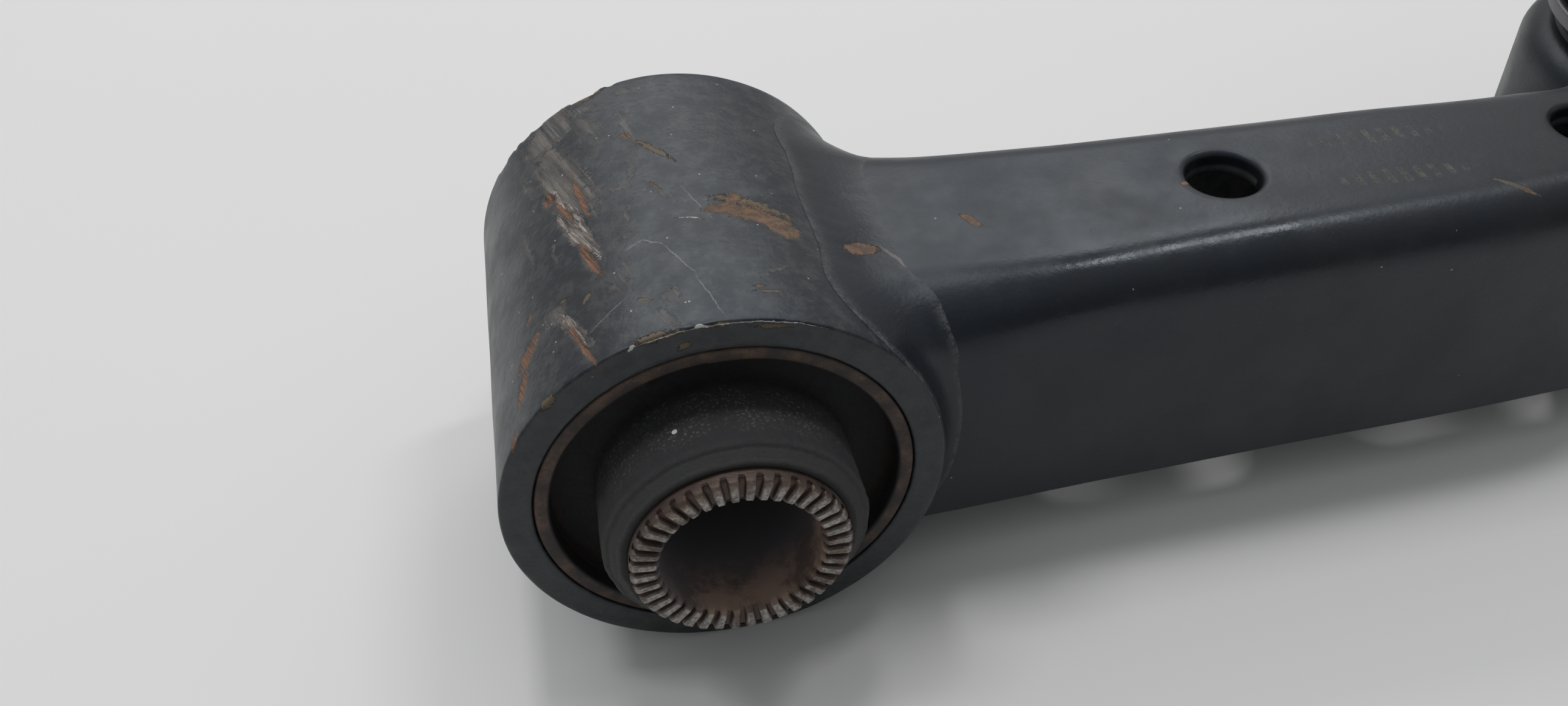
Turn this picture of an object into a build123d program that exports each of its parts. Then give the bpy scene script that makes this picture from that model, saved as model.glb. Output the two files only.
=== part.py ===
from build123d import *
import os
from math import atan2, cos, degrees, hypot, pi, radians, sin, sqrt, tan

# Single-leg suspension control arm, millimetres.
# Origin: centre of the inner bush, on its axis. +X runs out along the arm,
# +Y along the bush axis, +Z up. The arm lies on its bush housing and ball-joint cap.

# inner bush
HOUSING_R = 26.0
HOUSING_BORE_R = 22.2
HOUSING_L = 51.0
OUTER_SLEEVE_BORE_R = 20.3
INNER_SLEEVE_R = 12.5
BOLT_BORE_R = 9.2
INNER_SLEEVE_L = 71.0
COLLAR_R = 15.1
COLLAR_END = 33.6
RECESS_END = 20.5
WEB_FILLET = 2.2
BUSH_RUNNING_GAP = 0.05
SERRATIONS = 40
SERRATION_DEPTH = 0.8
SERRATION_WIDTH = 1.1

# pressed arm
SHEET = 3.0
HALF_HEIGHT = 17.0
CORNER_R = 6.5
NEAR_Y = -20.3
FAR_WALL = [(8.0, 20.6), (16.0, 20.4), (24.0, 18.6), (41.0, 13.5), (61.0, 10.9), (89.0, 8.6), (118.0, 5.5)]
FAR_END = [(118.0, 5.5), (126.0, 8.6), (136.0, 20.5), (149.0, 29.0)]
NEAR_END = [(118.0, NEAR_Y), (130.0, -18.0), (141.0, -10.5), (151.0, 3.0)]
NECK_TOP_Z = 3.0
NECK_FROM_X = 121.0
NECK_TO_X = 137.0
TOP_HOLES = [(67.6, -4.3), (115.7, -7.0)]
TOP_HOLE_R = 4.65

# closing plate
PLATE_T = 2.5
PLATE_Z = -17.0 + 1.8
PLATE_OPENINGS = [(62.0, -7.0), (108.0, -7.5)]
OPENING_L = 27.0
OPENING_W = 15.0
PLATE_BEAD_X = (38.0, 118.0)

# ball joint
BJ_X, BJ_Y = 158.0, 18.0
BALL_Z = -3.5
BALL_R = 16.0
LINER_R = 17.5
RUN = 0.05
SEAT_R = 21.0
BJ_R = 26.5
CAP_Z = -26.0
NECK_R = 8.0
STUD_COLLAR_R = 9.0
TAPER_BIG_R = 8.6
TAPER_SMALL_R = 7.35
THREAD_R = 7.0
TAPER_Z0, TAPER_Z1 = 35.5, 55.5
STUD_END_Z = 77.0
NUT_Z0 = 58.0
NUT_AF = 22.0
PIN_Z = 70.5
PIN_R = 1.45
BJ_WELD_CORNER = 3.0
NIPPLE_ANGLE = 38.0
NIPPLE_Z = -5.0


def turned(points, at=(0, 0, 0)):
    """Solid of revolution about a vertical axis from (radius, height) points."""
    face = make_face(Polyline(*[(r, 0, z) for r, z in points], close=True))
    return Pos(*at) * revolve(face, Axis.Z, 360)


def turned_y(points):
    """Solid of revolution about the bush axis from (radius, y) points."""
    return Rot(X=-90) * turned(points)


def at_joint(shape):
    return Pos(BJ_X, BJ_Y, 0) * shape


def shifted(points, d):
    """Points moved sideways by d, to the left of the direction of travel."""
    out = []
    for i, (x, y) in enumerate(points):
        x0, y0 = points[max(i - 1, 0)]
        x1, y1 = points[min(i + 1, len(points) - 1)]
        n = hypot(x1 - x0, y1 - y0)
        out.append((x - (y1 - y0) / n * d, y + (x1 - x0) / n * d))
    return out


def arm_plan(grow):
    """Outline of the arm seen from above, grown outwards by grow."""
    far = shifted(FAR_WALL, grow)
    far_end = shifted([FAR_WALL[-2]] + FAR_END[1:], grow)[1:]
    near_end = shifted(NEAR_END, -grow)
    near_y = NEAR_Y - grow
    a = Spline(*far, tangents=((1, 0), (1, -0.08)))
    b = Spline(far[-1], *far_end, tangents=((1, -0.08), (1, 0.5)))
    c = Line(far_end[-1], near_end[-1])
    d = Spline(*[(near_end[0][0], near_y)] + near_end[1:], tangents=((1, 0), (0.5, 1)))
    e = Line((near_end[0][0], near_y), (far[0][0], near_y))
    f = Line((far[0][0], near_y), far[0])
    return make_face(Wire([*a.edges(), *b.edges(), *c.edges(), *d.edges(), *e.edges(), *f.edges()]))


def arm_side(grow, bottom):
    """Side view of the arm: full height, then a neck down to the ball joint."""
    top, neck = HALF_HEIGHT + grow, NECK_TOP_Z + grow
    x0, x1 = NECK_FROM_X + grow * 0.4, NECK_TO_X + grow * 0.4
    s = Spline((x0, 0, top), (x1, 0, neck), tangents=((1, 0, 0), (1, 0, 0)))
    wire = Wire([
        *Line((0, 0, bottom), (0, 0, top)).edges(), *Line((0, 0, top), (x0, 0, top)).edges(), *s.edges(),
        *Line((x1, 0, neck), (170, 0, neck)).edges(), *Line((170, 0, neck), (170, 0, bottom)).edges(),
        *Line((170, 0, bottom), (0, 0, bottom)).edges()])
    return extrude(make_face(wire), amount=70, both=True)


def arm_block(grow, bottom, corner):
    """Filled arm shape with rounded top corners."""
    plan = Pos(0, 0, -40) * extrude(arm_plan(grow), amount=80)
    block = plan & arm_side(grow, bottom)
    edges = [e for e in block.edges()
             if abs((e @ 1).X - (e @ 0).X) > 3 and max((e @ 0).Z, (e @ 1).Z) > 0 and (e @ 0.5).Z > bottom + 5]
    return fillet(edges, corner)


def arm_pressing(outer):
    inner = arm_block(-SHEET, -HALF_HEIGHT - 5, CORNER_R - SHEET)
    shell = outer - inner
    shell -= Rot(X=90) * Cylinder(HOUSING_R, 120)
    shell -= at_joint(Cylinder(BJ_R, 120))
    for x, y in TOP_HOLES:
        shell -= Pos(x, y, HALF_HEIGHT) * Cylinder(TOP_HOLE_R, 20)
    return max(shell.solids(), key=lambda s: s.volume)


def plate_plan(grow):
    return Pos(0, 0, PLATE_Z) * extrude(arm_plan(grow), amount=PLATE_T)


def bottom_plate():
    plate = plate_plan(-SHEET)
    plate -= Rot(X=90) * Cylinder(HOUSING_R, 120)
    plate -= at_joint(Cylinder(BJ_R, 120))
    for x, y in PLATE_OPENINGS:
        plate -= Pos(x, y, PLATE_Z) * Rot(Z=-3) * extrude(SlotOverall(OPENING_L, OPENING_W), amount=12, both=True)
    return max(plate.solids(), key=lambda s: s.volume)


def plate_weld(side):
    """Fillet bead in the lower corner between the closing plate and one wall."""
    low = -HALF_HEIGHT
    band = Pos(0, 0, low) * extrude(arm_plan(-SHEET) - arm_plan(-SHEET - 2.0), amount=PLATE_Z - low)
    x0, x1 = PLATE_BEAD_X
    mid = -5.0
    keep = Box(x1 - x0, 60, 20, align=(Align.MIN, Align.MIN if side > 0 else Align.MAX, Align.CENTER))
    bead = band & (Pos(x0, mid, low) * keep)
    return max(bead.solids(), key=lambda s: s.volume)


def collar(outer, axis_cut, bands, corner):
    """Weld bead round the arm where it meets a round housing."""
    bead = None
    for grow, reach in bands:
        ring = axis_cut(reach)
        part = arm_block(grow, -HALF_HEIGHT, corner) & ring
        bead = part if bead is None else bead + part
    bead -= outer
    return bead


def bush_housing_weld(outer):
    def ring(reach):
        tube = Rot(X=90) * (Cylinder(HOUSING_R + reach, HOUSING_L - 1.5) - Cylinder(HOUSING_R, 120))
        return tube & Pos(0, 0, 0) * Box(60, 60, 60, align=(Align.MIN, Align.CENTER, Align.CENTER))
    return collar(outer, ring, [(3.6, 1.6), (1.8, 4.0)], CORNER_R)


def ball_joint_weld(outer):
    def ring(reach):
        tube = at_joint(Cylinder(BJ_R + reach, 60) - Cylinder(BJ_R, 120))
        return tube & Pos(BJ_X, BJ_Y, 0) * Box(60, 80, 60, align=(Align.MAX, Align.CENTER, Align.CENTER))
    return collar(outer, ring, [(2.8, 1.4), (1.4, 3.2)], BJ_WELD_CORNER)


def bush_housing():
    h = HOUSING_L / 2
    c = 0.8
    return turned_y([(HOUSING_BORE_R, -h), (HOUSING_R - c, -h), (HOUSING_R, -h + c), (HOUSING_R, h - c),
                     (HOUSING_R - c, h), (HOUSING_BORE_R, h)])


def bush_outer_sleeve():
    h = HOUSING_L / 2
    return turned_y([(OUTER_SLEEVE_BORE_R + 0.4, -h), (HOUSING_BORE_R - 0.4, -h), (HOUSING_BORE_R, -h + 0.4),
                     (HOUSING_BORE_R, h - 0.4), (HOUSING_BORE_R - 0.4, h), (OUTER_SLEEVE_BORE_R + 0.4, h),
                     (OUTER_SLEEVE_BORE_R, h - 0.4), (OUTER_SLEEVE_BORE_R, -h + 0.4)])


def bush_rubber():
    bore = INNER_SLEEVE_R + BUSH_RUNNING_GAP
    side = [(bore, COLLAR_END), (COLLAR_R - 1.2, COLLAR_END), (COLLAR_R - 1.2, COLLAR_END - 1.0),
            (COLLAR_R, COLLAR_END - 1.6), (COLLAR_R, RECESS_END + 2 * WEB_FILLET),
            (COLLAR_R + 0.3 * WEB_FILLET, RECESS_END + 0.7 * WEB_FILLET), (COLLAR_R + WEB_FILLET, RECESS_END),
            (OUTER_SLEEVE_BORE_R - 1.0, RECESS_END), (OUTER_SLEEVE_BORE_R, RECESS_END + 1.5)]
    return turned_y(side + [(r, -y) for r, y in reversed(side)])


def bush_inner_sleeve():
    h = INNER_SLEEVE_L / 2
    tube = turned([(BOLT_BORE_R + 0.5, -h), (INNER_SLEEVE_R - 0.3, -h), (INNER_SLEEVE_R, -h + 0.3),
                   (INNER_SLEEVE_R, h - 0.3), (INNER_SLEEVE_R - 0.3, h), (BOLT_BORE_R + 0.5, h),
                   (BOLT_BORE_R, h - 0.5), (BOLT_BORE_R, -h + 0.5)])
    w, d = SERRATION_WIDTH / 2, SERRATION_DEPTH
    tri = make_face(Polyline((0, -w * 1.2, 0.2 * d), (0, w * 1.2, 0.2 * d), (0, 0, -d), close=True))
    groove = Pos(BOLT_BORE_R - 1, 0, h) * extrude(tri, amount=6, dir=(1, 0, 0))
    grooves = []
    for i in range(SERRATIONS):
        one = Rot(Z=360 / SERRATIONS * i) * groove
        grooves.append(one)
        grooves.append(Rot(X=180) * one)
    tube = tube.cut(*grooves)
    return Rot(X=-90) * tube.solids()[0]


def ball_joint_housing():
    top = [(BJ_R * 1.0 - 4.7 * (1 - cos(radians(a))), 3.5 + 8.0 * sin(radians(a))) for a in (0, 15, 30, 45, 60, 75, 90)]
    body = turned([(18.6, -24.6), (24.5, -24.6), (BJ_R, -22.4)] + top
                  + [(20.6, 11.5), (20.6, 14.0), (21.6, 14.4), (21.6, 15.5), (18.2, 15.5), (14.8, BALL_Z + 10.0),
                     (SEAT_R, BALL_Z + 10.0), (SEAT_R, -22.6), (18.6, -22.6)])
    hole = Rot(Z=NIPPLE_ANGLE) * Pos(BJ_R, 0, NIPPLE_Z) * Rot(Y=90) * Cylinder(3.0, 16)
    return at_joint(body - hole)


def ball_seat(upper):
    z0, z1 = (BALL_Z, BALL_Z + 10.0) if upper else (-17.5, BALL_Z - 0.1)
    block = Pos(0, 0, (z0 + z1) / 2) * Cylinder(SEAT_R, z1 - z0)
    block -= Pos(0, 0, BALL_Z) * Sphere(LINER_R + RUN)
    if upper:
        block -= Pos(0, 0, BALL_Z + 10) * Cylinder(14.6, 8)
    return at_joint(block)


def ball_liner():
    shell = Sphere(LINER_R) - Sphere(BALL_R + RUN)
    shell &= Pos(0, 0, -0.5) * Box(60, 60, 19)
    return at_joint(Pos(0, 0, BALL_Z) * shell)


def preload_spring():
    return at_joint(turned([(11.5, -17.5), (20.6, -18.6), (20.6, -20.0), (11.5, -18.9)]))


def ball_joint_cap():
    return at_joint(turned([(0, CAP_Z), (13.6, CAP_Z), (14.4, CAP_Z + 0.4), (17.4, -22.6), (20.8, -22.6), (20.8, -20.0),
                            (16.6, -20.0), (13.4, -23.6), (0, -23.6)]))


def ball_stud():
    joint_h = sqrt(BALL_R ** 2 - NECK_R ** 2)
    shank = turned([(0, BALL_Z + joint_h - 3), (NECK_R, BALL_Z + joint_h - 3), (NECK_R, 29.0), (STUD_COLLAR_R, 29.6),
                    (STUD_COLLAR_R, TAPER_Z0 - 0.4), (TAPER_BIG_R, TAPER_Z0), (TAPER_SMALL_R, TAPER_Z1),
                    (THREAD_R - 0.8, TAPER_Z1 + 0.6), (THREAD_R - 0.8, TAPER_Z1 + 2.0), (THREAD_R, TAPER_Z1 + 2.5),
                    (THREAD_R, STUD_END_Z - 1.0), (THREAD_R - 1.0, STUD_END_Z), (0, STUD_END_Z)])
    ball = Pos(0, 0, BALL_Z) * (Sphere(BALL_R) & Pos(0, 0, 3) * Box(40, 40, 35))
    stud = ball + shank
    stud -= Pos(0, 0, PIN_Z) * Rot(Y=90) * Cylinder(PIN_R + 0.2, 30)
    return at_joint(stud)


def dust_boot():
    outer = [(23.3, 11.9), (23.3, 14.6), (24.6, 17.0), (24.9, 19.0), (24.2, 21.6), (21.4, 24.8), (15.2, 28.4),
             (12.2, 30.0), (12.2, 34.0)]
    inner = [(9.3, 34.0), (9.3, 30.4), (13.4, 26.9), (20.0, 23.2), (22.4, 20.6), (23.0, 19.0), (22.6, 17.2),
             (21.9, 15.2), (21.9, 14.2), (20.9, 13.8), (20.9, 11.9)]
    return at_joint(turned(outer + inner))


def ring(r_in, r_out, z0, z1):
    return at_joint(turned([(r_in, z0), (r_out - 0.3, z0), (r_out, z0 + 0.3), (r_out, z1 - 0.3), (r_out - 0.3, z1),
                            (r_in, z1)]))


def castle_nut():
    hexagon = Rot(Z=30) * extrude(RegularPolygon(NUT_AF / 2, 6, major_radius=False), amount=10.0)
    hexagon = hexagon & turned([(0, 0), (11.4, 0), (13.0, 0.9), (13.0, 9.1), (11.4, 10.0), (0, 10.0)])
    crown = turned([(0, 9.9), (10.2, 9.9), (10.2, 14.4), (9.6, 15.0), (0, 15.0)])
    nut = hexagon + crown - Pos(0, 0, 7) * Cylinder(THREAD_R, 30)
    for a in (0, 60, 120):
        nut -= Rot(Z=a) * Pos(0, 0, 12.8) * Box(30, 3.2, 5.0)
    return at_joint(Pos(0, 0, NUT_Z0) * nut)


def split_pin():
    wire = Pos(-0.3, 0, 0) * Rot(Y=90) * Cylinder(PIN_R, 24.6)
    eye = Pos(-14.4, 0, 0) * Rot(X=90) * (Cylinder(3.3, 2.2) - Cylinder(1.6, 5))
    up = Pos(11.9, 0, -0.6) * Cylinder(0.75, 7.0, align=(Align.CENTER, Align.CENTER, Align.MIN))
    down = Pos(12.1, 0, 0.6) * Cylinder(0.75, 8.0, align=(Align.CENTER, Align.CENTER, Align.MAX))
    return at_joint(Pos(0, 0, PIN_Z) * (wire + eye + up + down))


def nipple_place(shape):
    return at_joint(Rot(Z=NIPPLE_ANGLE) * Pos(0, 0, NIPPLE_Z) * Rot(Y=90) * shape)


def grease_nipple():
    hexagon = Pos(0, 0, BJ_R) * extrude(RegularPolygon(4.0, 6, major_radius=False), amount=3.0)
    body = turned([(0, 21.9), (3.0, 21.9), (3.0, BJ_R + 1.0), (2.5, BJ_R + 3.0), (2.5, BJ_R + 4.6), (1.9, BJ_R + 5.6),
                   (3.2, BJ_R + 7.4), (3.2, BJ_R + 8.2), (1.8, BJ_R + 9.6), (0, BJ_R + 9.6)])
    bore = Pos(0, 0, BJ_R) * Cylinder(1.1, 30)
    return nipple_place(hexagon + body - bore)


def nipple_check_ball():
    return nipple_place(Pos(0, 0, BJ_R + 8.2) * Sphere(1.05))


def save(name, shape):
    solids = shape.solids() if hasattr(shape, "solids") else [shape]
    body = solids[0] if len(solids) == 1 else Compound(children=list(solids))
    export_step(body, f"parts/{name}.step")


os.makedirs("parts", exist_ok=True)
arm_outer = arm_block(0.0, -HALF_HEIGHT, CORNER_R)
save("arm_pressing", arm_pressing(arm_outer))
save("bottom_plate", bottom_plate())
save("plate_weld_near", plate_weld(-1))
save("plate_weld_far", plate_weld(1))
save("bush_housing", bush_housing())
save("bush_housing_weld", bush_housing_weld(arm_outer))
save("bush_outer_sleeve", bush_outer_sleeve())
save("bush_rubber", bush_rubber())
save("bush_inner_sleeve", bush_inner_sleeve())
save("ball_joint_housing", ball_joint_housing())
save("ball_joint_weld", ball_joint_weld(arm_outer))
save("upper_ball_seat", ball_seat(True))
save("lower_ball_seat", ball_seat(False))
save("ball_liner", ball_liner())
save("preload_spring", preload_spring())
save("ball_joint_cap", ball_joint_cap())
save("ball_stud", ball_stud())
save("dust_boot", dust_boot())
save("boot_lower_ring", ring(23.4, 24.7, 12.2, 14.4))
save("boot_neck_ring", ring(12.5, 13.7, 31.0, 33.2))
save("castle_nut", castle_nut())
save("split_pin", split_pin())
save("grease_nipple", grease_nipple())
save("nipple_check_ball", nipple_check_ball())
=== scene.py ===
"""Suspension control arm: visible model, materials, light and camera, in the part's own frame."""
import math

import bmesh
import bpy
import numpy as np
from mathutils import Matrix, Vector


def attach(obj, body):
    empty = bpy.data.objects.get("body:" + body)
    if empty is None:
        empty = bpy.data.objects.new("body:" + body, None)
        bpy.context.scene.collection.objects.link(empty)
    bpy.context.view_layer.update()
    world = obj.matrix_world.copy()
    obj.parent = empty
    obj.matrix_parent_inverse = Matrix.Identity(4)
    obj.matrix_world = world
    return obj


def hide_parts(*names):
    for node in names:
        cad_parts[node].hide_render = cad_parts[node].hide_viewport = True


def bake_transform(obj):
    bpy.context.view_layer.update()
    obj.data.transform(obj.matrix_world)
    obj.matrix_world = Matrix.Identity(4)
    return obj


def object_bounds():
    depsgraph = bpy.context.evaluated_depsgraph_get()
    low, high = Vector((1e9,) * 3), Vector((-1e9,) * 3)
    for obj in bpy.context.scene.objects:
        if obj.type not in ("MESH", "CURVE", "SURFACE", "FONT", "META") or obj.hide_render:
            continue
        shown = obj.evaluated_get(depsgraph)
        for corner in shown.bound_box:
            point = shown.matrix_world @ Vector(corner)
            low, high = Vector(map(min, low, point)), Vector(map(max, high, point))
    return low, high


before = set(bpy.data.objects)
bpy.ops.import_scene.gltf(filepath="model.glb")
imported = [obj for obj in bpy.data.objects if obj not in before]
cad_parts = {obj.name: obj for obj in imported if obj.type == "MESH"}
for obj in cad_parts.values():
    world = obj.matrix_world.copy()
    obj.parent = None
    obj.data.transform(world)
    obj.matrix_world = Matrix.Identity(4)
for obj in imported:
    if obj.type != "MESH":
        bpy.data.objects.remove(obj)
CAD_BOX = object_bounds()

bl_info = {
    "name": "Control arm builder",
    "version": (1, 0, 0),
    "blender": (4, 5, 0),
    "location": "3D View > Sidebar > Control arm",
    "description": "Builds the pressed control arm, its rubber bush and its ball joint",
    "category": "Object",
}

MM = 0.001
TABLE_Z = CAD_BOX[0][2]

# Sizes in millimetres. The bush's axis is Y and its centre is the origin; the ball joint's axis is parallel
# to Z. CRUMB is a white crumb that lies on the rubber.
HOUSING_R, HOUSING_BORE_R, HOUSING_HALF = 26.0, 22.2, 25.5
OUTER_SLEEVE_BORE_R = 20.3
INNER_SLEEVE_R, INNER_BORE_R, INNER_HALF = 12.5, 9.2, 35.5
ARM_TOP, ARM_LOW, SHEET = 17.0, -17.0, 3.0
HOLES, HOLE_R, HOLE_LIP_R = [(67.6, -4.3), (115.7, -7.0)], 4.65, 0.9
BALL_X, BALL_Y, BALL_Z, BALL_R = 158.0, 18.0, -3.5, 16.0
BALL_AXIS = (BALL_X, BALL_Y, 0)
BALL_HOUSING_R = 26.5
THREAD_PITCH = 1.5
CRUMB, CRUMB_R = (-5.0, -28.1, 14.25), 0.3

# Name, place, aim and size in metres, power in watts.
LIGHTS = [
    ("panel overhead", (0.02, 0.30, 1.30), (0.0, 0.0, 0.0), (0.16, 0.36), 3.2),
    ("panel right", (0.68, 0.24, 1.30), (0.05, 0.0, 0.0), (0.16, 0.36), 2.5),
    ("panel left", (-0.66, 0.20, 1.30), (0.0, 0.0, 0.0), (0.16, 0.36), 2.8),
    ("back window", (0.10, 1.05, 0.95), (0.05, 0.0, 0.0), (1.5, 0.5), 5.5),
]


# ---------------------------------------------------------------- geometry helpers, in millimetres

def value_noise(x, y, z, seed=1):
    """Smooth noise from 0 to 1, repeating every 32 units."""
    table = np.random.RandomState(seed).rand(32, 32, 32)
    x, y, z = np.broadcast_arrays(x, y, z)
    ix, iy, iz = np.floor(x).astype(int), np.floor(y).astype(int), np.floor(z).astype(int)
    fx, fy, fz = x - ix, y - iy, z - iz
    fx, fy, fz = (f * f * (3 - 2 * f) for f in (fx, fy, fz))
    total = 0
    for dx in (0, 1):
        for dy in (0, 1):
            for dz in (0, 1):
                w = (fx if dx else 1 - fx) * (fy if dy else 1 - fy) * (fz if dz else 1 - fz)
                total = total + w * table[(ix + dx) % 32, (iy + dy) % 32, (iz + dz) % 32]
    return total


def smoothstep(a, b, x):
    t = np.clip((x - a) / (b - a), 0, 1)
    return t * t * (3 - 2 * t)


def curve_through(points):
    """Smooth function y(x) through (x, y) points."""
    xs, ys = np.array(points, float).T
    slopes = np.gradient(ys, xs)

    def evaluate(x):
        x = np.clip(x, xs[0], xs[-1])
        i = np.clip(np.searchsorted(xs, x) - 1, 0, len(xs) - 2)
        h = xs[i + 1] - xs[i]
        t = (x - xs[i]) / h
        return ((2 * t**3 - 3 * t**2 + 1) * ys[i] + (t**3 - 2 * t**2 + t) * h * slopes[i]
                + (3 * t**2 - 2 * t**3) * ys[i + 1] + (t**3 - t**2) * h * slopes[i + 1])
    return evaluate


def arc(cx, cy, r, a0, a1, n):
    return [(cx + r * math.cos(math.radians(a)), cy + r * math.sin(math.radians(a)))
            for a in np.linspace(a0, a1, n)]


def divided(points, step, closed=True):
    """The outline with points added so that no span is longer than step."""
    out = []
    pairs = list(zip(points, points[1:] + points[:1])) if closed else list(zip(points, points[1:]))
    for (x0, y0), (x1, y1) in pairs:
        n = max(1, math.ceil(math.hypot(x1 - x0, y1 - y0) / step))
        out += [(x0 + (x1 - x0) * i / n, y0 + (y1 - y0) * i / n) for i in range(n)]
    return out if closed else out + [points[-1]]


def mirrored(points):
    """The outline's points at the opposite height, in reverse order."""
    return [(radius, -height) for radius, height in reversed(points)]


def from_top(angle):
    """Angle from the top in degrees, -180 to 180."""
    return np.degrees((angle + np.pi) % (2 * np.pi) - np.pi)


def grid_faces(rows, cols, wrap_rows, wrap_cols):
    faces = []
    for i in range(rows if wrap_rows else rows - 1):
        for j in range(cols if wrap_cols else cols - 1):
            a, b = i * cols + j, i * cols + (j + 1) % cols
            k = (i + 1) % rows
            faces.append((a, b, k * cols + (j + 1) % cols, k * cols + j))
    return faces


def add_mesh(name, verts, faces, material, crease=32):
    """A closed smooth mesh object from points in millimetres."""
    mesh = bpy.data.meshes.new(name)
    mesh.from_pydata((np.asarray(verts, float).reshape(-1, 3) * MM).tolist(), [], faces)
    work = bmesh.new()
    work.from_mesh(mesh)
    bmesh.ops.recalc_face_normals(work, faces=work.faces)
    work.to_mesh(mesh)
    work.free()
    for poly in mesh.polygons:
        poly.use_smooth = True
    mesh.set_sharp_from_angle(angle=math.radians(crease))
    piece = bpy.data.objects.new(name, mesh)
    bpy.context.scene.collection.objects.link(piece)
    mesh.materials.append(material)
    return piece


def turned(name, outline, material, axis="z", centre=(0, 0, 0), segments=256, shape=None, crease=32):
    """Closed ring or disc turned from a closed (radius, height) outline; shape() may move the points."""
    radius, height = (np.array(v, float)[:, None] for v in zip(*outline))
    angle = np.linspace(0, 2 * np.pi, segments, endpoint=False)[None, :]
    radius, height = radius + 0 * angle, height + 0 * angle
    if shape:
        radius, height = shape(radius, height, angle)
    if axis == "y":
        points = np.stack([radius * np.sin(angle), height, radius * np.cos(angle)], -1)
    else:
        points = np.stack([radius * np.cos(angle), radius * np.sin(angle), height], -1)
    points = points + np.array(centre)
    return add_mesh(name, points, grid_faces(len(outline), segments, True, True), material, crease)


def point_values(piece, name, values):
    """Stores one number per point for the materials to read."""
    piece.data.attributes.new(name, "FLOAT", "POINT").data.foreach_set("value", values.astype(np.float32))


def cut(piece, cutter):
    """Removes cutter from piece, then deletes cutter."""
    modifier = piece.modifiers.new("cut", "BOOLEAN")
    modifier.operation, modifier.solver, modifier.object = "DIFFERENCE", "EXACT", cutter
    graph = bpy.context.evaluated_depsgraph_get()
    mesh = bpy.data.meshes.new_from_object(piece.evaluated_get(graph))
    piece.modifiers.clear()
    old, piece.data = piece.data, mesh
    bpy.data.meshes.remove(old)
    bpy.data.objects.remove(cutter, do_unlink=True)
    for poly in mesh.polygons:
        poly.use_smooth = True
    mesh.set_sharp_from_angle(angle=math.radians(32))


def place(piece, body, slot, *nodes):
    """Hangs the piece on the empty of the body that carries it and hides the nodes it stands for. The slot is
    not used.
    """
    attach(piece, body)
    if nodes:
        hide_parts(*nodes)


# ---------------------------------------------------------------- marks on the bush housing
# Each mark is (angle from the top towards the arm in degrees, y, half length, half width, turn in degrees),
# with the depth after them where the mark is also cut into the mesh. Turn 0 lies along the circumference and
# 90 along the axis. A y beyond HOUSING_HALF lies on the end face.

SCRAPED = [
    (-31.5, 21.5, 4.6, 3.8, 20.0), (-29.2, 9.5, 10.5, 2.9, -72.0), (-29.5, 23.5, 2.8, 1.3, -35.0),
    (-27.0, -2.0, 7.5, 1.3, -70.0), (-31.5, -18.0, 4.6, 0.8, -65.0),
]
SCUFFS = [
    (-8.5, 14.0, 4.4, 0.55, -84.0), (-9.0, 6.0, 3.0, 0.6, -102.0), (-3.8, -0.4, 2.6, 0.35, -60.0),
    (-13.0, -3.5, 2.4, 0.5, -112.0), (-14.0, -7.5, 1.0, 0.6, 12.0), (-17.0, -14.0, 2.0, 0.9, -116.0),
    (-19.8, 3.0, 2.0, 0.55, -80.0), (-13.0, 2.0, 1.4, 0.4, -24.0), (-6.0, -19.8, 1.5, 0.9, -89.0),
    (-8.0, -22.8, 1.8, 0.8, -60.0), (-41.0, 13.0, 3.4, 0.45, -72.0), (-34.5, -3.5, 2.0, 0.3, -84.0),
    (-38.0, 14.5, 2.7, 0.35, -77.0), (-7.0, 22.8, 2.4, 0.55, -38.0), (-19.5, 22.0, 3.0, 0.6, -30.0),
    (20.5, -16.7, 2.2, 0.25, 34.0), (-20.0, 18.0, 5.0, 1.2, -60.0), (-44.0, 2.0, 4.0, 0.5, -80.0),
    (-36.5, -14.0, 1.6, 1.4, -50.0),
]
HAIRLINES = [
    (-12.5, -9.4, 1.2, 0.11, 19.0), (-7.8, -9.9, 1.5, 0.10, -38.0), (-2.5, -13.8, 3.5, 0.09, -66.0),
    (2.5, -20.7, 4.0, 0.08, -75.0), (5.0, -4.0, 4.0, 0.07, -70.0), (-22.0, -19.0, 3.0, 0.08, 30.0),
]
BARE = [
    (-26.8, -3.0, 6.4, 0.75, -68.0, 0.30), (-25.2, -1.0, 6.6, 0.4, -77.0, 0.18),
    (-32.8, -16.0, 2.5, 0.45, -56.0, 0.22), (-30.6, 5.0, 4.5, 0.5, -74.0, 0.12),
    (2.0, -6.9, 1.7, 0.13, -17.0, 0.02), (-31.0, -18.5, 3.4, 0.22, -68.0, 0.12),
]
RUST = [
    (-24.4, -8.4, 3.7, 0.55, -74.0, 0.25), (-30.0, -21.0, 5.0, 0.38, -71.0, 0.18),
    (-24.4, 4.0, 4.5, 0.45, -82.0, 0.10), (-34.7, 7.6, 1.3, 1.0, -46.0, 0.35),
    (-46.1, -10.3, 0.8, 0.4, -132.0, 0.05), (-47.5, -15.4, 2.3, 1.2, 38.0, 0.10),
    (-51.0, -19.5, 2.4, 0.8, 62.0, 0.06), (12.0, -5.3, 2.4, 1.0, 6.0, 0.08),
    (14.6, -3.6, 1.4, 0.9, -113.0, 0.06), (18.8, -6.3, 3.5, 1.6, -13.0, 0.10),
    (25.1, -7.9, 2.9, 1.7, -38.0, 0.10), (-9.2, 12.4, 0.9, 0.4, -48.0, 0.05),
    (-29.6, 3.0, 3.0, 0.4, -70.0, 0.08), (-57.5, -25.0, 1.2, 0.5, 20.0, 0.05),
]
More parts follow.
